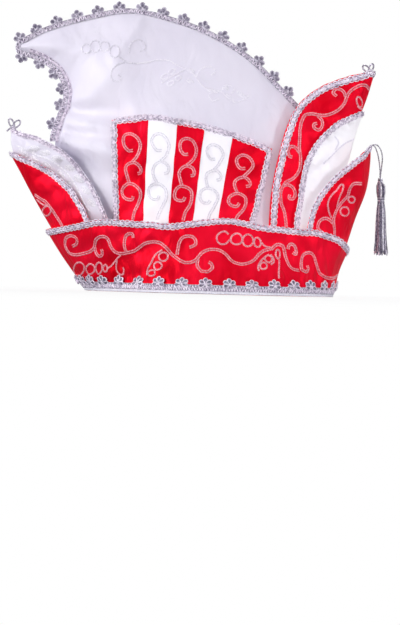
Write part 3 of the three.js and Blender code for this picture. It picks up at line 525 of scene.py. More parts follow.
def crownGrid(spec):
    t = (1 - np.cos(np.linspace(0, np.pi, spec["columns"]))) / 2
    r = (1 - np.cos(np.linspace(0, np.pi, spec["rows"]))) / 2
    onSeam = t <= 0.5
    seamShare = np.clip(t + 0.5 * np.clip(4 * t - 1, 0, 1) ** 2, 0, 1)
    baseX = spec["baseFront"] + (2 * t - 1) * (spec["baseBack"] - spec["baseFront"])
    foot = np.where(onSeam[:, None], along(seamLine, seamShare), np.column_stack([baseX, 0 * baseX]))
    foot[:, 1] = np.maximum(spec["foot"], foot[:, 1])  # leaves room for the wall's lower edge above the floor
    spot = along(ridgeLine, t)[:, None] * (1 - r)[:, None] + foot[:, None] * r[:, None]
    width = halfWidth(crownLayer, spot[..., 0], spot[..., 1])
    width[:, 0] = width[0] = width[-1] = 0
    width[onSeam, -1] = 0
    left = np.stack([spot[..., 0], -width, spot[..., 1]], -1)
    return np.concatenate([left[:, ::-1], left[:, 1:] * (1, -1, 1)], axis=1)


def makeCrown(spec):
    grid = crownGrid(spec)
    bag = newBag()
    addFaces(bag, grid, gridQuads(*grid.shape[:2]))
    piece = makePiece("crown_satin", bag, whiteSatinShadedCopy, "white_satin", ["crown"], weld=True)
    group = piece.vertex_groups.new(name="wall")  # thin where the two sides meet in a seam
    for vertex in piece.data.vertices:
        group.add([vertex.index], min(1, max(0.05, abs(vertex.co.y) / mm / 4)), "REPLACE")
    wall = piece.modifiers.new("wall", "SOLIDIFY")
    wall.thickness = spec["wall"] * mm
    wall.offset = -1
    wall.vertex_group = "wall"


makeCrown(crownSpec)
print("crown made")

# Braid: a dark flat ribbon under a three-strand plait, with a looped picot thread along both edges
braidSpec = {"ribbon": 1.9, "ribbonTall": 0.3, "pitch": 8.4, "swing": 1.05, "strand": 0.66, "picot": 4.6,
             "edge": 1.6, "reach": 1.15, "edgeThread": 0.52, "step": 0.6,
             "threadTall": 0.5, "weave": 0.3}


def layBraid(bag, centre, normal, size=1.0, ground=1, top=0, spec=braidSpec):
    count = max(6, int(lengthAlong(centre)[-1] / spec["step"]))
    centre, normal = evenly(centre, count, normal)
    normal = unit(normal)
    run = lengthAlong(centre)
    across = unit(np.cross(np.gradient(centre, axis=0), normal)) * size
    tall = spec["ribbonTall"]
    addThread(bag, centre + normal * tall, normal, spec["ribbon"] * size, tall, 8, paint=ground)
    for k in range(3):
        turn = (2 * np.pi * (run / (spec["pitch"] * size) + k / 3))[:, None]
        height = 2 * tall + spec["weave"] * (1 + np.sin(2 * turn))
        strand = centre + across * spec["swing"] * np.sin(turn) + normal * height
        addThread(bag, strand, normal, spec["strand"] * size, spec["threadTall"], 5, paint=top)
    for edge in (-1, 1):
        picot = np.abs(np.sin(np.pi * run / (spec["picot"] * size))) ** 0.7
        out = edge * (spec["edge"] + spec["reach"] * picot)[:, None]
        picots = centre + across * out + normal * spec["threadTall"]
        addThread(bag, picots, normal, spec["edgeThread"] * size, spec["threadTall"], 5, paint=top)


# Stitching: raised cords laid along drawn lines on both sides of a layer
stitchRise = 0.15
stitchSpec = {
    "double": {"offsets": (-0.88, 0.88), "half": 0.62, "tall": 0.5, "step": 0.8, "grain": 1.9},
    "single": {"offsets": (0,), "half": 0.85, "tall": 0.5, "step": 0.8, "grain": 1.9},
    "padded": {"offsets": (0,), "half": 2.3, "tall": 1.1, "step": 0.5, "grain": 1.1, "tapers": True},
}


def layStitches(bag, centre, normal, spec):
    run = lengthAlong(centre)
    across = unit(np.cross(np.gradient(centre, axis=0), normal))
    for offset in spec["offsets"]:
        grain = 1 + 0.15 * np.sin(2 * np.pi * run / spec["grain"] + 3 * offset)
        if "tapers" in spec:
            grain = grain * np.sqrt(np.maximum(0.03, 1 - (2 * run / run[-1] - 1) ** 2))
        addThread(bag, centre + across * offset, normal, spec["half"] * grain, spec["tall"] * grain, 5)


def embroider(bag, layer, strokes, spec, rise=cloth + stitchRise):
    for stroke in strokes:
        line = stepLine(fromPicture(stroke), spec["step"])
        for side in (-1, 1):
            layStitches(bag, *onLayer(layer, line[:, 0], line[:, 1], side, rise), spec)


def oval(x, y, wide, tall=None, lean=0.0):
    turn = np.linspace(0, 2 * np.pi, 17)
    u, v = wide * np.cos(turn), (tall or wide) * np.sin(turn)
    c, s = math.cos(math.radians(lean)), math.sin(math.radians(lean))
    return np.column_stack([x + u * c - v * s, y + u * s + v * c])


# Tone-on-tone scrolls on the crown, as places on the picture
crownScrolls = [
    oval(86.5, 49.5, 4.4), oval(95.5, 47, 5, 5.8), oval(105, 47.3, 4.6), oval(115, 52.5, 4.8, 6),
    [(119, 57.5), (124, 61.5), (129, 63.5), (137, 64.5)],
    [(128, 63.5), (119, 65), (113, 70), (111.5, 76), (113, 81), (118, 82.5), (121.5, 79.5), (118, 75)],
    [(129, 55), (130, 47), (134, 42), (140, 41), (145, 44.5), (145, 50), (140, 52.5)],
]
crownVine = [
    [(137, 64.5), (148, 63), (160, 60.5), (170, 62), (178, 66.5), (186, 70), (193, 74), (198, 81),
     (204, 88), (213, 91), (222, 93), (228, 99), (234, 103), (242, 101), (249, 96)],
    [(186, 70), (178, 74), (170, 78), (162, 84)], oval(165, 77.5, 4, 2.2, -30),
    oval(172, 72.5, 3.6, 2, -30),
    oval(171, 84, 3.6, 2.2, -30), oval(178.5, 79, 3, 2, -30),
    [(196, 78), (199, 72), (205, 68), (212, 68), (215, 72), (211, 76)],
    [(222, 93), (224, 87), (230, 86), (234, 90), (231, 94)], [(213, 91), (209, 97), (213, 102), (219, 100)],
]
crownPads = [  # filled petals of the vine
    [(225, 94), (233.5, 102.5)], [(207, 90.5), (219, 93.5)], [(236, 92), (248, 100)], [(187, 70.5),
                                                                                       (195, 73.5)],
    [(186, 81), (194, 83.5)], [(224, 86), (228, 91)],
]
for name, strokes, pads, look in (("crown_scroll", crownScrolls, [], paleThread),
                                  ("crown_vine", crownVine, crownPads, whiteThread)):
    bag = newBag()
    embroider(bag, crownLayer, strokes, stitchSpec["single"], 0.35)
    embroider(bag, crownLayer, pads, stitchSpec["padded"], 0.0)
    makePiece(f"{name}_embroidery", bag, look)

# Folded peaks: the nose is the fold on the centre line, the edge is free; both run down from the tip
backCrest = smoothLine([(20, 224), (45, 208), (76, 192), (110, 205.5), (145, 207)])
redLook = {"cloth": redSatin, "slot": "red_satin", "stitch": roseThread}
peakSpec = {"columns": 96, "turns": 45, "noseLag": 1.1, "pucker": 0.3, "puckerPitch": 8.5}
peaks = {
    "front_inner": {
        "cloth": whiteSatinShadedCopy, "slot": "white_satin", "stitch": greyThread,
        "front": True, "lift": 0.5, "braid": 0.75, "inset": 1.5,
        "nose": [(-181, 143), (-180, 128), (-174, 114), (-157, 85), (-138.5, 56), (-123.5, 34),
                 (-111.5, 15), (-103, 2.8)],
        "edge": [(-174.5, 141), (-147, 132), (-129, 120.5), (-110, 98.5), (-96, 73), (-91.5, 60), (-88, 38),
                 (-86.5, 2.8)],
        "vines": [],
        "fine": [[(18, 146), (28, 150), (40, 156), (52, 161), (63, 168), (72, 178), (79, 190), (85, 202),
                  (91, 212)]],
        "leaves": [(24, 153, 40), (35, 149, -10), (36, 160, 50), (46, 153, 0), (48, 166, 45), (58, 159, 10),
                   (62, 175, 60), (71, 168, 20), (70, 186, 75), (80, 179, 30), (76, 200, 85), (87, 191, 35),
                   (83, 213, 90), (93, 203, 45)],
    },
    "front_outer": {
        **redLook, "front": True, "lift": 3.1, "braid": 0.95, "inset": 1.4,
        "nose": [(-181.5, 122), (-171.5, 105), (-162, 88), (-143.5, 57.5), (-128, 34), (-116.5, 18),
                 (-106.5, 2.8)],
        "edge": [(-174, 120), (-146.5, 107.5), (-128, 92), (-114, 73), (-107.5, 58), (-103, 38),
                 (-99.5, 2.8)],
        "vines": [[(36, 194), (41, 197.5), (47, 202), (53, 209), (58.5, 217), (64, 226)]],
        "fine": [oval(48, 210.5, 4, 4.6, 20), [(38, 199), (44, 204), (49, 206)]],
    },
    "back_inner": {
        **redLook, "front": False, "lift": 0.5, "braid": 1.05, "inset": 3.6,
        "nose": [(142, 203.5), (135.5, 180), (129, 162), (122.5, 146), (115, 124), (109, 95), (105, 55),
                 (101.5, 2)],
        "edge": [(135, 202), (116.5, 197), (94.5, 187.5), (77, 173.5), (66.5, 155.5), (58.5, 126.5),
                 (53, 95), (51, 60), (52, 2)],
        "vines": [
            [(367.5, 89), (364, 85.5), (357, 86.8), (350, 91.5), (346, 98), (343, 104), (338, 109.5),
             (330, 114), (320, 116), (311, 115), (304, 117), (300, 125), (299, 138), (298.3, 149.5),
             (299.5, 160), (298, 171), (292.2, 178.6), (284, 184), (279.5, 192), (280, 203), (283.5, 215),
             (285, 227.6)],
            [(345, 98), (343.5, 93.5), (340, 90.5), (335, 90.5), (333, 94), (336, 97.5)],
            [(317, 117), (320.5, 121), (321, 127), (318, 130.5), (314, 129), (313.5, 125.5), (316.5, 124.5)],
            [(298, 153), (294.5, 148.5), (289.5, 148), (287, 152), (288.5, 157), (291, 157.5)],
            [(282, 186), (288, 185.5), (292.5, 189.5), (294, 195.5), (291.8, 199.6), (288, 198.5),
             (288.5, 195)],
        ],
        "fine": [oval(358, 102, 2.6, 5, -15), [(356, 106), (360, 109), (363, 107)]],
    },
    "back_middle": {
        # the brighter white satin copy: painted light
        "cloth": whiteSatinLitCopy, "slot": "white_satin", "stitch": whiteThread,
        "front": False, "lift": 3.1, "braid": 0.95, "inset": 1.5, "pucker": 0.55,
        "nose": [(132.5, 166.5), (126, 146.5), (121.5, 127), (116, 100), (111, 58), (103.7, 2)],
        "edge": [(126, 165), (109, 155.5), (94, 141), (82, 118), (77.5, 91), (74, 60), (74, 2)],
        "vines": [], "fine": [[(352, 139), (345, 142.5), (338, 148), (330, 156), (322, 164)],
                              [(334, 150), (337, 143), (333, 137)]],
    },
    "back_outer": {
        **redLook, "front": False, "lift": 5.7, "braid": 0.95, "inset": 1.5,
        "nose": [(140, 136), (140, 122), (137, 97), (128, 71.5), (119.5, 44), (109.5, 18), (106, 2)],
        "edge": [(134.5, 129), (123.5, 120.5), (105.5, 104.5), (91, 82.5), (85, 58), (85, 2)],
        "vines": [
            [(332.5, 241), (332.5, 230), (332, 220), (334.5, 211), (340, 202.5), (346, 196), (348.5, 188.5),
             (351.5, 184.5), (359.5, 183.8)],
            [(331, 223), (327, 219.5), (321, 219), (317, 223), (316.5, 229), (320, 232.5)],
        ],
        "fine": [oval(350, 199.5, 3.4), oval(343, 211.5, 4.2),
                 [(330, 218), (327, 210), (326.2, 203), (329, 197), (335, 191), (339.5, 185), (342, 185.5),
                  (341, 190), (337.5, 198), (335, 207)]],
    },
}


def peakSpots(peak, down, turn):
    nose, edge = along(peak["noseLine"], down ** peakSpec["noseLag"]), along(peak["edgeLine"], down)
    share = np.abs(turn)[..., None]
    spot = nose * (1 - share) + edge * share
    width = np.where(turn == 0, 0, halfWidth(peak["layer"], spot[..., 0], spot[..., 1]))
    return np.stack([spot[..., 0], np.sign(turn) * width, spot[..., 1]], -1)


# Small puckers where the braid is sewn on, fading into the cloth
def peakPucker(peak, x, z):
    off = reachTo(peak["edgeLine"], x, z)
    wave = np.sin(2 * np.pi * (z + 0.6 * x) / peakSpec["puckerPitch"])
    return peak.get("pucker", peakSpec["pucker"]) * wave * np.exp(-((off - 5) / 6) ** 2)


def makePeak(name, peak, spec):
    peak["noseLine"], peak["edgeLine"] = smoothLine(peak["nose"], 160), smoothLine(peak["edge"], 160)
    coarseNose = smoothLine(peak["nose"])
    lift = peak["lift"]
    peak["layer"] = {
        "front": coarseNose if peak["front"] else seamLine,
        "back": backSeam if peak["front"] else coarseNose,
        "crest": ridgeLine if peak["front"] else backCrest,
        "lift": lambda x, z: lift + ruffle(x, z) + peakPucker(peak, x, z), "tapers": peak["front"],
    }
    down = np.linspace(0, 1, spec["columns"])[:, None]
    even = np.linspace(-1, 1, spec["turns"])
    turn = (np.sign(even) * np.abs(even) ** 1.8)[None, :]
    down, turn = np.broadcast_arrays(down, turn)
    grid = peakSpots(peak, down, turn)
    normals = gridNormals(grid) * (-1 if peak["front"] else 1)
    bag = newBag()
    addWall(bag, grid + normals * cloth, grid)
    piece = makePiece(f"{name}_satin", bag, peak["cloth"], peak["slot"], [f"{name}_peak"], weld=True)
    piece.visible_diffuse = name != "back_outer"  # its red throws no pink on the white peak


def peakFace(peak, down, turn, rise):
    spots = lambda row, fold: peakSpots(peak, row, fold)
    normal = normalOf(spots, down, turn, 0.004, (0, 1), (-1, 1)) * (-1 if peak["front"] else 1)
    return spots(down, turn) + normal * rise, normal


# Braid up one free edge of a peak from the band, round the tip and down the other edge
def makePeakBraid(name, peak, bandTop):
    edge = peak["edgeLine"]
    hidden = edge[:, 1] < heightAt(bandTop, edge[:, 0]) - 1
    tip = peak["inset"] / lengthAlong(edge)[-1]
    down = np.linspace(tip, np.argmax(hidden) / (len(edge) - 1), 120)
    nose = along(peak["noseLine"], down ** peakSpec["noseLag"])
    spot = along(edge, down)
    ahead = unit(np.gradient(spot, axis=0))
    clear = np.abs(np.cross(nose - spot, ahead))
    turn = np.maximum(0.45, 1 - peak["inset"] / np.maximum(1e-6, clear))
    overTip = np.linspace(-turn[0], turn[0], 42)[1:-1]
    downs = np.concatenate([down[::-1], np.full(len(overTip), tip), down])
    turns = np.concatenate([-turn[::-1], overTip, turn])
    line, normal = peakFace(peak, downs, turns, cloth)
    soften(line, 4)
    soften(normal, 4)
    normal = unit(normal)
    bag = newBag()
    layBraid(bag, line, normal, peak["braid"])
    makePiece(f"{name}_gimp", bag, (silver, greyGimp), nodes=[f"{name}_braid"])


bandTop = smoothLine([(-147.5, 54.5), (-118, 60.5), (-100, 64), (-64, 63), (-38, 61.5), (7.5, 67), (44, 61),
                      (80, 59), (98, 54.5), (122.5, 43)])
for name, peak in peaks.items():
    makePeak(name, peak, peakSpec)
    makePeakBraid(name, peak, bandTop)
    bag = newBag()
    embroider(bag, peak["layer"], peak["vines"], stitchSpec["double"])
    embroider(bag, peak["layer"], peak["fine"], stitchSpec["single"])
    for x, y, lean in peak.get("leaves", ()):
        embroider(bag, peak["layer"], [oval(x, y, 5, 2.4, lean)], stitchSpec["single"])
        embroider(bag, peak["layer"], [oval(x, y, 3.6, 0, lean)[[0, 8]]], stitchSpec["padded"])
    makePiece(f"{name}_embroidery", bag, peak["stitch"])
print("peaks made")

# Striped side panels: five stripes a side, red and white by turns, with the same scroll on each
panelTop = smoothLine([(-91, 153), (-58, 157), (-21.5, 152.5), (14.5, 144), (52, 131)])
stripeSpec = {"lowZ": 64, "bottom": 15, "gap": 0.3, "puff": 0.7, "columns": 15, "rows": 60, "lift": 0.9,
              "scrollWidth": 20.5, "scrollTop": 6.5, "braidInset": 1.6}
sides = {"left": -1, "right": 1}
stripeBorders = [  # x at the top, x at the band
    (-91, -85.5), (-58.5, -60.5), (-32.5, -38), (-8.5, -16.5), (17, 5), (52, 37.5),
]
stripeScroll = [  # across and down, as shares of the scroll's width and of the stripe
    [(0.51, 0.27), (0.336, 0.27), (0.149, 0.22), (0.092, 0.157), (0.182, 0.115), (0.389, 0.1),
     (0.639, 0.129), (0.813, 0.199), (0.819, 0.262), (0.706, 0.332), (0.508, 0.388)],
    [(0.404, 0.612), (0.276, 0.543), (0.22, 0.473), (0.302, 0.423), (0.538, 0.396), (0.745, 0.416),
     (0.866, 0.465), (0.831, 0.5), (0.713, 0.508)],
    [(0.568, 0.746), (0.507, 0.78), (0.268, 0.774), (0.121, 0.732), (0.121, 0.662), (0.308, 0.62),
     (0.566, 0.626), (0.819, 0.676), (0.873, 0.738), (0.789, 0.823), (0.644, 0.907), (0.58, 0.998)],
]
panelLayer = {**plainCrown, "lift": lambda x, z: stripeSpec["lift"] + ruffle(x, z)}


def panelSpot(border, share):
    order = np.arange(len(stripeBorders))
    topX, lowX = (np.interp(border, order, column) for column in np.array(stripeBorders).T)
    topZ = heightAt(panelTop, topX)
    z = stripeSpec["bottom"] + share * (topZ - stripeSpec["bottom"])
    return lowX + (z - stripeSpec["lowZ"]) / (topZ - stripeSpec["lowZ"]) * (topX - lowX), z


# The cloth swells a little between two seams
def stripePuff(across):
    return stripeSpec["puff"] * np.clip(np.sin(np.pi * np.clip(across, 0, 1)), 0, 1) ** 0.7


def makeStripe(sideName, side, stripe, spec):
    trim = spec["gap"] / 2 / (stripeBorders[stripe + 1][0] - stripeBorders[stripe][0])
    across = (1 - np.cos(np.linspace(0, np.pi, spec["columns"]))) / 2
    across, share = np.broadcast_arrays(across[:, None], np.linspace(0, 1, spec["rows"])[None, :])
    x, z = panelSpot(stripe + trim + across * (1 - 2 * trim), share)
    back = onLayer(panelLayer, x, z, side)[0]
    face = onLayer(panelLayer, x, z, side, cloth + stripePuff(across))[0]
    bag = newBag()
    addWall(bag, face, back)
    # white stripes take the brighter white satin copy: painted light
    look = (redSatin, "red_satin") if stripe % 2 == 0 else (whiteSatinLitCopy, "white_satin")
    node = f"{sideName}_stripe_{stripe + 1}"
    piece = makePiece(f"{node}_satin", bag, *look, [node], weld=True)


def stitchStripe(bag, stripe, spec):
    shove = {0: 2.4, 4: -2.4}.get(stripe, 0)  # clear of the braid on the panel's front and back edges
    topZ = panelSpot(stripe + 0.5, 1)[1]
    for stroke in stripeScroll:
        u, v = np.array(stroke).T
        z = topZ - spec["scrollTop"] - v * (topZ - spec["scrollTop"] - spec["lowZ"])
        centreX = panelSpot(stripe + 0.5, (z - spec["bottom"]) / (topZ - spec["bottom"]))[0]
        offset = (u - 0.5) * spec["scrollWidth"] + shove
        line = stepLine(np.column_stack([centreX + offset, z]), stitchSpec["double"]["step"])
        share = (line[:, 1] - spec["bottom"]) / (topZ - spec["bottom"])
        low, high = panelSpot(stripe, share)[0], panelSpot(stripe + 1, share)[0]
        rise = cloth + stitchRise + stripePuff((line[:, 0] - low) / (high - low))
        for side in (-1, 1):
            layStitches(bag, *onLayer(panelLayer, line[:, 0], line[:, 1], side, rise), stitchSpec["double"])


def makePanelBraid(sideName, side, spec):
    last = len(stripeBorders) - 1
    share = np.linspace(0, 1, 40)
    frontX, frontZ = panelSpot(0, share)
    backX, backZ = panelSpot(last, share)
    topX = np.linspace(stripeBorders[0][0], stripeBorders[last][0], 60)
    inset = spec["braidInset"]
    keepFront = (frontZ > heightAt(bandTop, frontX) - 1) & (frontZ < frontZ[-1] - 1.5 * inset)
    keepBack = (backZ > heightAt(bandTop, backX) - 1) & (backZ < backZ[-1] - 1.5 * inset)
    top = np.column_stack([topX, heightAt(panelTop, topX) - inset])[2:-2]
    line = np.vstack([
        np.column_stack([frontX + inset, frontZ])[keepFront], top,
        np.column_stack([backX - inset, backZ])[keepBack][::-1],
    ])
    line = evenly(line, 400)
    soften(line, 3)
    bag = newBag()
    layBraid(bag, *onLayer(panelLayer, line[:, 0], line[:, 1], side, cloth + 0.2))
    makePiece(f"{sideName}_panel_gimp", bag, (silver, greyGimp), nodes=[f"{sideName}_panel_braid"])


redBag, whiteBag = newBag(), newBag()
for stripe in range(len(stripeBorders) - 1):
    stitchStripe(redBag if stripe % 2 == 0 else whiteBag, stripe, stripeSpec)
    for sideName, side in sides.items():
        makeStripe(sideName, side, stripe, stripeSpec)
makePiece("red_stripe_embroidery", redBag, roseThread)
makePiece("white_stripe_embroidery", whiteBag, greyThread)
for sideName, side in sides.items():
    makePanelBraid(sideName, side, stripeSpec)
print("stripes made")

# Band: the red turn-up, standing off the crown, with a flat hem under it
bandFront = smoothLine([(-147.5, 54.5), (-133.5, 33), (-116.5, 10), (-108.5, 0)])
bandBack = smoothLine([(122.5, 43), (115, 24.5), (111.5, 10), (108, 0)])
bandLift = smoothLine([(-150, 6), (-80, 5), (-20, 3.6), (40, 4.6), (84, 9), (125, 9.6)])
bandSpec = {"columns": 320, "rows": 44, "flange": 1.6, "rimGap": 0.7, "bendFade": 6, "ripple": 0.6,
            "gather": 0.8, "gatherPitch": 7.5, "gatherZ": 15, "braidInset": 2.6}


# Soft waves towards the top and short gathers above the hem
def bandWaves(x, z):
    high = np.clip(z / 50, 0, 1) ** 1.5
    swell = bandSpec["ripple"] * high * (np.sin(x / 9.5 + z / 40) + 0.6)
    near = np.exp(-(((z - bandSpec["gatherZ"]) / 8) ** 2))
    gathers = bandSpec["gather"] * near * np.sin(2 * np.pi * x / bandSpec["gatherPitch"] + np.sin(x / 11))
    return swell + gathers + ruffle(x, z) * np.clip(z / 12, 0, 1)


bandLayer = {"front": bandFront, "back": bandBack, "crest": ridgeLine,
             "lift": lambda x, z: heightAt(bandLift, x) + bandWaves(x, z)}


def bandSweep(turn):
    lap = turn % 1
    return np.where(lap < 0.5, -1, 1), (1 - np.cos(2 * np.pi * lap)) / 2, np.isclose(lap % 0.5, 0)


def bandTopAt(turn):
    topX = bandTop[0, 0] + bandSweep(turn)[1] * (bandTop[-1, 0] - bandTop[0, 0])
    return topX, heightAt(bandTop, topX)


def bandSpots(turn, share):
    side, sweep, onNose = bandSweep(turn)
    topX, topZ = bandTopAt(turn)
    baseX = bandFront[-1, 0] + sweep * (bandBack[-1, 0] - bandFront[-1, 0])
    x, z = baseX + share * (topX - baseX), share * topZ
    frontX = np.interp(z, bandFront[::-1, 1], bandFront[::-1, 0])
    backX = np.interp(z, bandBack[::-1, 1], bandBack[::-1, 0])
    frontOff = frontX - (bandFront[-1, 0] + share * (bandTop[0, 0] - bandFront[-1, 0]))
    backOff = backX - (bandBack[-1, 0] + share * (topX - bandBack[-1, 0]))
    x = x + (1 - sweep) ** bandSpec["bendFade"] * frontOff + sweep ** bandSpec["bendFade"] * backOff
    width = np.where(onNose, 0, halfWidth(bandLayer, x, z))
    return np.stack([x, side * width, z + 0 * x], -1)


def bandFace(turn, share, rise):
    normal = normalOf(bandSpots, turn, share, 0.003, (-1, 2), (0, 1))
    return bandSpots(turn, share) + normal * rise, normal


def crownRim(turn, z):
    side, sweep, onNose = bandSweep(turn)
    front, back, gap = crownSpec["baseFront"], crownSpec["baseBack"], bandSpec["rimGap"]
    x = front - gap + sweep * (back - front + 2 * gap)
    width = halfWidth(plainCrown, np.clip(x, front, back), 0 * x) + 2 * gap
    return np.stack([x, np.where(onNose, 0, side * width), 0 * x + z], -1)


def makeBand(spec):
    turn = np.linspace(0, 1, spec["columns"], endpoint=False)
    shares = np.linspace(0, 1, spec["rows"]) ** 0.85
    turns, share = np.broadcast_arrays(turn[:, None], shares[None, :])
    back = bandSpots(turns, share)
    face = bandFace(turns, share, cloth)[0]
    face[..., 2] = np.maximum(0, face[..., 2])
    face[:, 0, 2] = 0
    low = back[:, :1] * (1, 1, 0) + (0, 0, spec["flange"])
    face = np.concatenate([crownRim(turn, 0)[:, None], face], axis=1)
    back = np.concatenate([crownRim(turn, spec["flange"])[:, None], low, back[:, 1:]], axis=1)
    back[:, 2:4, 2] = np.maximum(back[:, 2:4, 2], spec["flange"] + 0.1)
    bag = newBag()
    addWall(bag, face, back, looped=True)
    piece = makePiece("band_satin", bag, redSatin, "red_satin", ["band"], weld=True)


def makeBandBraid(spec):
    turn = np.linspace(0.0001, 1.0001, 1200)
    topZ = bandTopAt(turn)[1]
    bag = newBag()
    layBraid(bag, *bandFace(turn, 1 - spec["braidInset"] / topZ, cloth))
    makePiece("band_gimp", bag, (silver, greyGimp), nodes=["band_braid"])


# Scrolls on the band, as places on the picture
bandVines = [
    [(73.9, 245.6), (77.5, 243.9), (78.9, 240.6), (77.2, 237), (72.2, 235.6), (68.1, 237.3), (66.7, 241.4),
     (67.5, 247), (70.6, 252), (75.6, 254.1), (81.1, 254.2), (87.8, 252.8), (92.8, 250.6), (95.3, 248.1),
     (96.4, 244.2), (97.2, 239.8), (100, 237.3), (103.9, 236.4), (108.1, 237.8), (110.6, 241.4),
     (112.2, 245.9), (114.4, 249.5), (117.8, 252.3), (122.2, 253.1), (130.6, 252.3), (136.1, 250.6),
     (141.1, 247.3), (145.6, 243.7), (150.6, 242.1), (155.6, 242), (160.6, 243.4), (165, 246.7),
     (168.9, 250.3), (172.2, 253.9), (176.7, 257.8), (181.7, 261.7), (186.1, 263.1), (191.1, 262.6),
     (195.6, 260.3), (198.9, 256.4), (202.2, 253.1), (207.2, 250.9), (212.2, 250.3), (217.8, 250.9),
     (222.2, 253.1), (226.1, 256.4), (229.4, 260.3), (233.3, 263.1), (239.4, 264.8), (245.6, 264.5),
     (250.6, 262.8), (254.4, 259.8), (257.2, 255.9), (260.6, 252.8), (263.9, 250.9), (271.1, 248.7)],
    [(96.4, 247), (97.5, 252), (100.6, 255.9), (103.3, 254.8), (103.9, 251.4), (103.1, 248.9)],
    [(128.3, 252), (126.1, 247), (126.1, 240.3), (128.3, 235.1), (131.7, 233.4), (134.4, 234.8),
     (135, 238.1)],
    [(177.8, 255.3), (178.1, 249.8), (179.7, 243.1), (183.3, 238.4), (187.8, 236.7), (192.8, 237.8),
     (195.6, 240.9), (195.8, 244.8), (192.8, 247.3), (190, 248.4)],
    [(197.8, 259.8), (197.2, 264.2), (198.3, 268.7), (201.1, 271.4), (205.6, 272.3), (210, 270.9),
     (212.2, 267.6), (211.1, 264.2), (208.9, 262.8)],
    [(270, 249.8), (273.3, 246.4), (277.2, 244.8), (281.1, 246.4), (283.1, 250.9), (283.9, 256.4),
     (285.6, 262.6), (288.3, 267.6), (292.2, 270.3), (296.7, 270.9)],
    [(291.1, 253.1), (293.9, 254.8), (294.4, 251.4), (292.8, 247), (290, 244.8), (287.2, 246.4),
     (286.7, 249.8)],
    [(305, 265.9), (305.8, 269.2), (303.9, 272), (300.6, 270.3), (299.4, 265.9), (299.4, 259.8),
     (301.1, 255.3), (305, 253.1), (309.4, 253.7), (312.2, 257.6), (313.9, 263.1), (315.6, 268.7),
     (318.3, 273.7), (322.2, 276.7), (326.7, 278.1), (331.7, 277.6), (335.6, 274.8)],
]
bandFine = [
    oval(80.6, 268.1, 5.3, 6.6, 15), oval(91.9, 268.4, 4.4, 5.1), oval(100.6, 267.6, 3.5, 5.8),
    oval(106.7, 268.1, 1.9, 3.3),
    [(109.7, 268.4), (112.8, 266.4), (116.1, 262), (119.4, 257.6), (122.2, 254.8)],
    [(118.9, 259.8), (118.1, 266.4), (119.4, 271.4), (122.8, 274.5), (125.6, 271.4), (124.7, 267)],
    oval(164.4, 257, 4.3), oval(158.9, 266.3, 4), oval(153.1, 273.4, 2.8),
    [(163.3, 250.3), (158.3, 253.7), (154.4, 258.1), (151.7, 264.2), (149.4, 269.8), (148.9, 275.3)],
    [(228.3, 234.8), (224.4, 232.3), (220, 233.4), (216.9, 236.4), (216.7, 240.9), (218.9, 244.2),
     (222.8, 245.3), (226.7, 243.7), (229.4, 239.8)],
    oval(235.8, 239.8, 5.7), oval(246.9, 241.2, 5, 5.8), oval(256.4, 243.1, 3.5, 4.4),
    [(260.6, 243.1), (263.9, 246.4), (269.4, 248.1)],
    [(257.2, 271.4), (256.7, 267.6), (260, 262), (263.9, 258.1), (267.8, 255.3)],
    oval(262.2, 266.4, 3), oval(267.2, 259.8, 3.5), oval(276.4, 254.8, 1.9, 4.5),
    [(269.4, 255.3), (272.2, 259.2), (272.2, 263.1), (269.4, 265.3)],
    [(277.5, 260.3), (277.8, 272), (278.1, 279)],
]
makeBand(bandSpec)
makeBandBraid(bandSpec)
bag = newBag()
embroider(bag, bandLayer, bandVines, stitchSpec["double"])
embroider(bag, bandLayer, bandFine, stitchSpec["single"])
makePiece("band_embroidery", bag, roseThread)
print("band made")


# Flower of looped thread: filled petals with a bright rim, fanned round a knot
knotSpec = {"ring": 0.75, "half": 0.7, "tall": 0.6, "rise": 0.2}


def addFlower(bag, centre, up, out, spec):
    side = np.cross(up, out)
    t = np.linspace(0, 2 * np.pi, 18, endpoint=False)[:, None]
    fill = np.linspace(0, 1, 7)[:, None]
    for turn in np.radians(spec["petals"]):
        ray = math.cos(turn) * up + math.sin(turn) * side
        flank = math.cos(turn) * side - math.sin(turn) * up
        length = spec["radius"] - spec["start"]
        swell = (1 - np.cos(t)) / 2
        loop = centre + ray * (spec["start"] + length * swell) + out * spec["cup"] * (1 - swell)
        loop = loop + flank * np.sin(t) * spec["petal"] * (0.75 + 0.45 * swell)
        addThread(bag, loop, out, spec["thread"], sides=5, looped=True)
        blade = centre + ray * (spec["start"] + length * fill) + out * spec["cup"] * (1 - fill)
        half = spec["petal"] * np.sqrt(np.maximum(0.02, 1 - (2 * fill[:, 0] - 1.1) ** 2))
        addThread(bag, blade, out, half, 0.3, paint=1)
    knot = centre + out * (spec["cup"] + knotSpec["rise"])
    ring = knot + knotSpec["ring"] * (np.cos(t) * up + np.sin(t) * side)
    addThread(bag, ring, out, knotSpec["half"], knotSpec["tall"], looped=True)


# Hem gimp: ribbed ribbon round the base with a row of flowers above it
hemSpec = {"flowers": 34, "lead": 0.375, "low": 0.03, "pipe": 2.8, "high": 7.6, "rib": 2.4, "rise": 0.4,
           "cord": 0.62, "flowerZ": 8.4, "petals": (-104, -54, 0, 54, 104), "radius": 6.2, "start": 0.9,
           "petal": 1.75, "thread": 0.55, "cup": 0.8, "pipeTall": 0.9, "ribbonTall": 0.35,
           "ribThread": (0.45, 0.4), "cordRise": 0.7, "ribRise": 0.9, "flowerRise": 1.0}


def hemLine(turn, height, rise):
    height = np.broadcast_to(height, turn.shape)
    topZ = bandTopAt(turn)[1]
    lean = bandFace(turn, height / topZ, 0)[1][:, 2]
    spot, normal = bandFace(turn, (height - lean * (cloth + rise)) / topZ, cloth + rise)
    spot[:, 2] = height
    return spot, normal


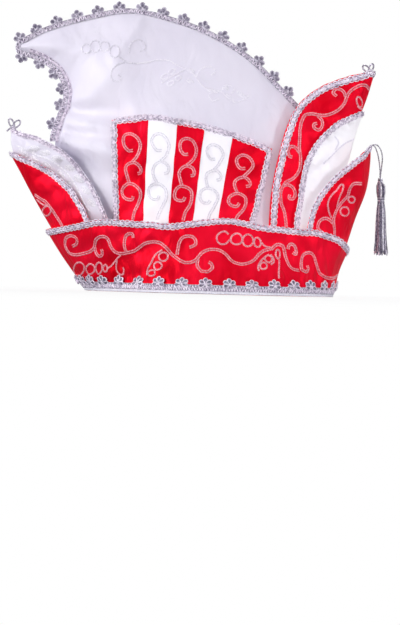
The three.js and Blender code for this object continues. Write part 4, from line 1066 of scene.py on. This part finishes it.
def makeHem(spec):
    bag = newBag()
    turn = np.linspace(0, 1, 700, endpoint=False)
    pipe = hemLine(turn, (spec["low"] + spec["pipe"]) / 2, spec["rise"])
    addThread(bag, *pipe, (spec["pipe"] - spec["low"]) / 2, spec["pipeTall"], 8, looped=True, paint=2)
    middle = (spec["pipe"] + spec["high"]) / 2
    ribbon = hemLine(turn, middle, spec["rise"])
    addThread(bag, *ribbon, spec["high"] - middle, spec["ribbonTall"], 8, looped=True, paint=1)
    for height in (spec["pipe"], spec["high"]):
        addThread(bag, *hemLine(turn, height, spec["cordRise"]), spec["cord"], looped=True, paint=3)
    fine = np.linspace(0, 1, 3300, endpoint=False)
    girth = lengthAlong(hemLine(fine, middle, 0)[0])
    count = round(girth[-1] / spec["rib"])
    wave = np.sin(2 * np.pi * count * girth / girth[-1])
    ribs = hemLine(fine, middle + wave * (spec["high"] - middle - 0.3), spec["ribRise"])
    addThread(bag, *ribs, *spec["ribThread"], sides=5, looped=True)
    for k in range(spec["flowers"]):
        place = np.array([(k + spec["lead"]) / spec["flowers"]])
        spot, normal = hemLine(place, spec["flowerZ"], spec["flowerRise"])
        up = unit(np.array((0, 0, 1.0)) - normal[0] * normal[0, 2])
        addFlower(bag, spot[0], up, normal[0], spec)
    makePiece("hem_gimp", bag, (silver, greyGimp, whiteThread, mistGimp), nodes=["hem_trim"])


makeHem(hemSpec)
print("hem made")

# Crest gimp: a lacy strip on the ridge and under the hook, with flowers that stand out from it
crestSpec = {"ridgeFlowers": 15, "hookFlowers": 6, "leads": (-0.03, 0.15), "hookEnd": 0.44, "low": 0.7,
             "high": 4.2, "lace": 3.8, "cord": 0.66, "flowerOut": 5.6, "petals": (-72, 0, 72, 144, 216),
             "radius": 5.4, "start": 0.7, "petal": 1.8, "thread": 0.6, "cup": 0.5, "edging": 2.0,
             "half": 0.75, "laceY": 0.975, "laceThread": 0.5, "ribbonTall": 0.5}


# The crest's line from the back along the ridge, round the tip and under the hook, with its outward direction
def crestLine():
    hook = seamLine[:int(crestSpec["hookEnd"] * (len(seamLine) - 1)) + 1]
    line = evenly(np.vstack([ridgeLine[::-1], hook]), 900)
    ahead = unit(np.gradient(line, axis=0))
    out = np.column_stack([ahead[:, 1], -ahead[:, 0]])
    soften(out, 12)
    return line, unit(out)


def inPlane(flat, y):
    return np.column_stack([flat[:, 0], 0 * flat[:, 0] + y, flat[:, 1]])


def makeCrest(spec):
    bag = newBag()
    line, out = crestLine()
    run = lengthAlong(line)
    middle, swing = (spec["low"] + spec["high"]) / 2, (spec["high"] - spec["low"]) / 2
    plain, away = line[::2], out[::2]  # straight cords need fewer points than the lace
    addThread(bag, inPlane(plain + away * middle, 0), (0, 1, 0), swing, spec["ribbonTall"], sides=8)
    for side in (-1, 1):
        for height in (spec["low"], spec["high"]):
            addThread(bag, inPlane(plain + away * height, side * spec["half"]), (0, 1, 0), spec["cord"])
        turn = 2 * np.pi * run / spec["lace"]
        lace = line + out * (middle + swing * np.sin(turn))[:, None]
        addThread(bag, inPlane(lace, side * spec["laceY"]), (0, 1, 0), spec["laceThread"], sides=5, paint=2)
    upright = np.array((0, -1.0, 0))
    runs = [(ridgeLine, 1.0, spec["ridgeFlowers"], -1), (seamLine, spec["hookEnd"], spec["hookFlowers"], 1)]
    for (path, end, flowers, way), lead in zip(runs, spec["leads"]):
        share = np.maximum(0.006, end * (np.arange(flowers) + lead) / flowers)
        spots = along(path, share)
        ahead = unit(along(path, share + 0.005) - along(path, share - 0.005)) * way
        for spot, run in zip(spots, ahead):
            up = np.array((run[1], 0, -run[0]))
            centre = np.array((spot[0], 0, spot[1])) + up * spec["flowerOut"]
            for face in (upright, -upright):
                addFlower(bag, centre + face * 0.5, up, face, spec)
    hook = stepLine(seamLine[2:int(spec["hookEnd"] * (len(seamLine) - 1)) + 1], 3)
    ahead = unit(np.gradient(hook, axis=0))
    inside = hook + np.column_stack([-ahead[:, 1], ahead[:, 0]]) * spec["edging"]
    for side in (-1, 1):  # a second lace beside the seam, laid on the crown
        layBraid(bag, *onLayer(crownLayer, inside[:, 0], inside[:, 1], side, 0.0), 0.68, top=2)
    makePiece("crest_gimp", bag, (mistGimp, greyGimp, silver), nodes=["crest_trim"])


makeCrest(crestSpec)
print("crest made")

# Bows of twisted cord on the two tips
bows = {
    "front": {"knot": (-180.3, 145, 2.2), "loops": [(-184, 152.5, -2.6, 4), (-174.6, 151, -2.2, 4.6)],
              "tails": [(-186, 141.5, -2), (-177, 140, -3.2)]},
    "back": {"knot": (138.6, 203.4, 2.8), "loops": [(132.6, 208.6, -2.4, 4.4), (141.4, 210.6, 2.4, 3.6)],
             "tails": [(134, 201, -3.4), (142.5, 199, -2.4)]},
}
bowSpec = {"diameter": 1.7, "ply": 0.5, "pitch": 3.6, "hug": 0.75, "wrap": 0.75}


def makeBow(name, bow, spec):
    bag = newBag()
    knotX, knotZ, radius = bow["knot"]
    knot = np.array((knotX, 0, knotZ))
    t = np.linspace(0, 2 * np.pi, 40)[:, None]
    for endX, endZ, endY, width in bow["loops"]:
        run = np.array((endX - knotX, 0, endZ - knotZ))
        flank = np.cross(unit(run), (0, 1, 0))
        out = (1 - np.cos(t)) / 2
        loop = knot + run * out + flank * np.sin(t) * width / 2 + (0, endY, 0) * out
        addPlies(bag, loop, spec)
    for endX, endZ, endY in bow["tails"]:
        middle = knot + (0.5 * (endX - knotX), endY, 0.3 * (endZ - knotZ))
        addPlies(bag, stepLine([knot, middle, (endX, endY, endZ)], 0.5), spec)
    ring = np.linspace(0, 2 * np.pi, 24, endpoint=False)[:, None]
    for lean in (-0.9, 0, 0.9):  # turns of cord round the knot
        first = np.array((math.cos(lean), 0.3, math.sin(lean)))
        axis = unit(np.cross(first, (0.2, 1, 0.1)))
        second = unit(np.cross(first, axis))
        turns = knot + radius * spec["hug"] * (np.cos(ring) * unit(first) + np.sin(ring) * second)
        addThread(bag, turns, axis, spec["wrap"], looped=True)
    makePiece(f"{name}_bow_cord", bag, mistGimp, nodes=[f"{name}_tip_bow"])


for name, bow in bows.items():
    makeBow(name, bow, bowSpec)
print("bows made")

# Stage: a pale floor that runs out into white, a white sky and soft lights
stage = {"radius": 40.0, "clear": 0.35, "fade": 1.2, "glow": 0.85,
         "sky": (0.95, 0.94, 1.0), "skyBelow": 0.2, "skyAbove": 0.38}
hatMiddle = (0, 0, 0.12)
lights = {  # place in m, size in m, power in W, what it points at, spread in degrees
    "key": ((-2.0, -1.4, 0.9), 0.6, 27, hatMiddle, 180),
    "low": ((-2.5, -0.5, 0.15), 0.6, 26, hatMiddle, 180),
    "fill": ((0.5, -2.5, 0.4), 0.9, 9, hatMiddle, 180),
    "side": ((2.3, -1.0, 0.3), 0.7, 25, hatMiddle, 180),
    "top": ((-0.3, -1.1, 2.1), 1.0, 5, hatMiddle, 180),
    "back": ((0.3, 2.1, 0.9), 1.4, 34, hatMiddle, 180),
    "hook": ((-0.8, -0.62, 0.04), 0.3, 0.055, (-0.135, -0.02, 0.23), 18),
    "tail": ((0.85, -0.85, 0.12), 0.3, 0.075, (0.14, -0.02, 0.11), 20),
}


def makeFloor(spec):
    work = bmesh.new()
    bmesh.ops.create_circle(work, cap_ends=True, segments=96, radius=spec["radius"])
    mesh = bpy.data.meshes.new("floor")
    work.to_mesh(mesh)
    work.free()
    material, tree, shader, place = newMaterial("pale_floor")
    setInputs(tree, shader, {"Base Color": (0.94, 0.94, 0.95, 1), "Roughness": 0.9})
    distance = addNode(tree, "VectorMath", "Value", {0: place}, operation="LENGTH")
    fade = {"Value": distance, "From Min": spec["clear"], "From Max": spec["fade"], "To Min": spec["glow"]}
    white = addNode(tree, "Emission", "Emission", {})
    mix = {"Fac": addNode(tree, "MapRange", "Result", fade), 1: shader.outputs["BSDF"], 2: white}
    setInputs(tree, tree.nodes["Material Output"], {"Surface": addNode(tree, "MixShader", "Shader", mix)})
    mesh.materials.append(material)
    floor = bpy.data.objects.new("floor", mesh)
    scene.collection.objects.link(floor)
    floor.visible_diffuse = False  # the white floor gives no light from below
    floor.visible_glossy = False


def makeSky(spec):
    world = bpy.data.worlds.new("studio")
    world.use_nodes = True
    tree = world.node_tree
    soft = tree.nodes["Background"]
    way = addNode(tree, "TexCoord", "Generated", {})
    height = {"Value": addNode(tree, "SeparateXYZ", "Z", {"Vector": way}), "From Min": -1,
              "To Min": spec["skyBelow"], "To Max": spec["skyAbove"]}
    strength = addNode(tree, "MapRange", "Result", height)
    setInputs(tree, soft, {"Color": (*spec["sky"], 1), "Strength": strength})
    white = addNode(tree, "Background", "Background", {"Color": (1, 1, 1, 1)})
    mix = {"Fac": addNode(tree, "LightPath", "Is Camera Ray", {}), 1: soft.outputs["Background"], 2: white}
    setInputs(tree, tree.nodes["World Output"], {"Surface": addNode(tree, "MixShader", "Shader", mix)})
    scene.world = world


def makeLights():
    for name, (place, size, power, aim, spread) in lights.items():
        data = bpy.data.lights.new(name, "AREA")
        data.shape = "SQUARE"
        data.size = size
        data.energy = power
        data.spread = math.radians(spread)
        data.use_shadow = name != "side"  # reaches behind the tall peak
        lamp = bpy.data.objects.new(name, data)
        lamp.location = place
        lamp.rotation_mode = "QUATERNION"
        lamp.rotation_quaternion = (Vector(aim) - Vector(place)).to_track_quat("-Z", "Y")
        lamp.visible_glossy = name not in ("low", "side")  # no glare on the crown from its two ends
        scene.collection.objects.link(lamp)


makeFloor(stage)
makeSky(stage)
makeLights()
scene.view_settings.view_transform = "Standard"
print("stage set")
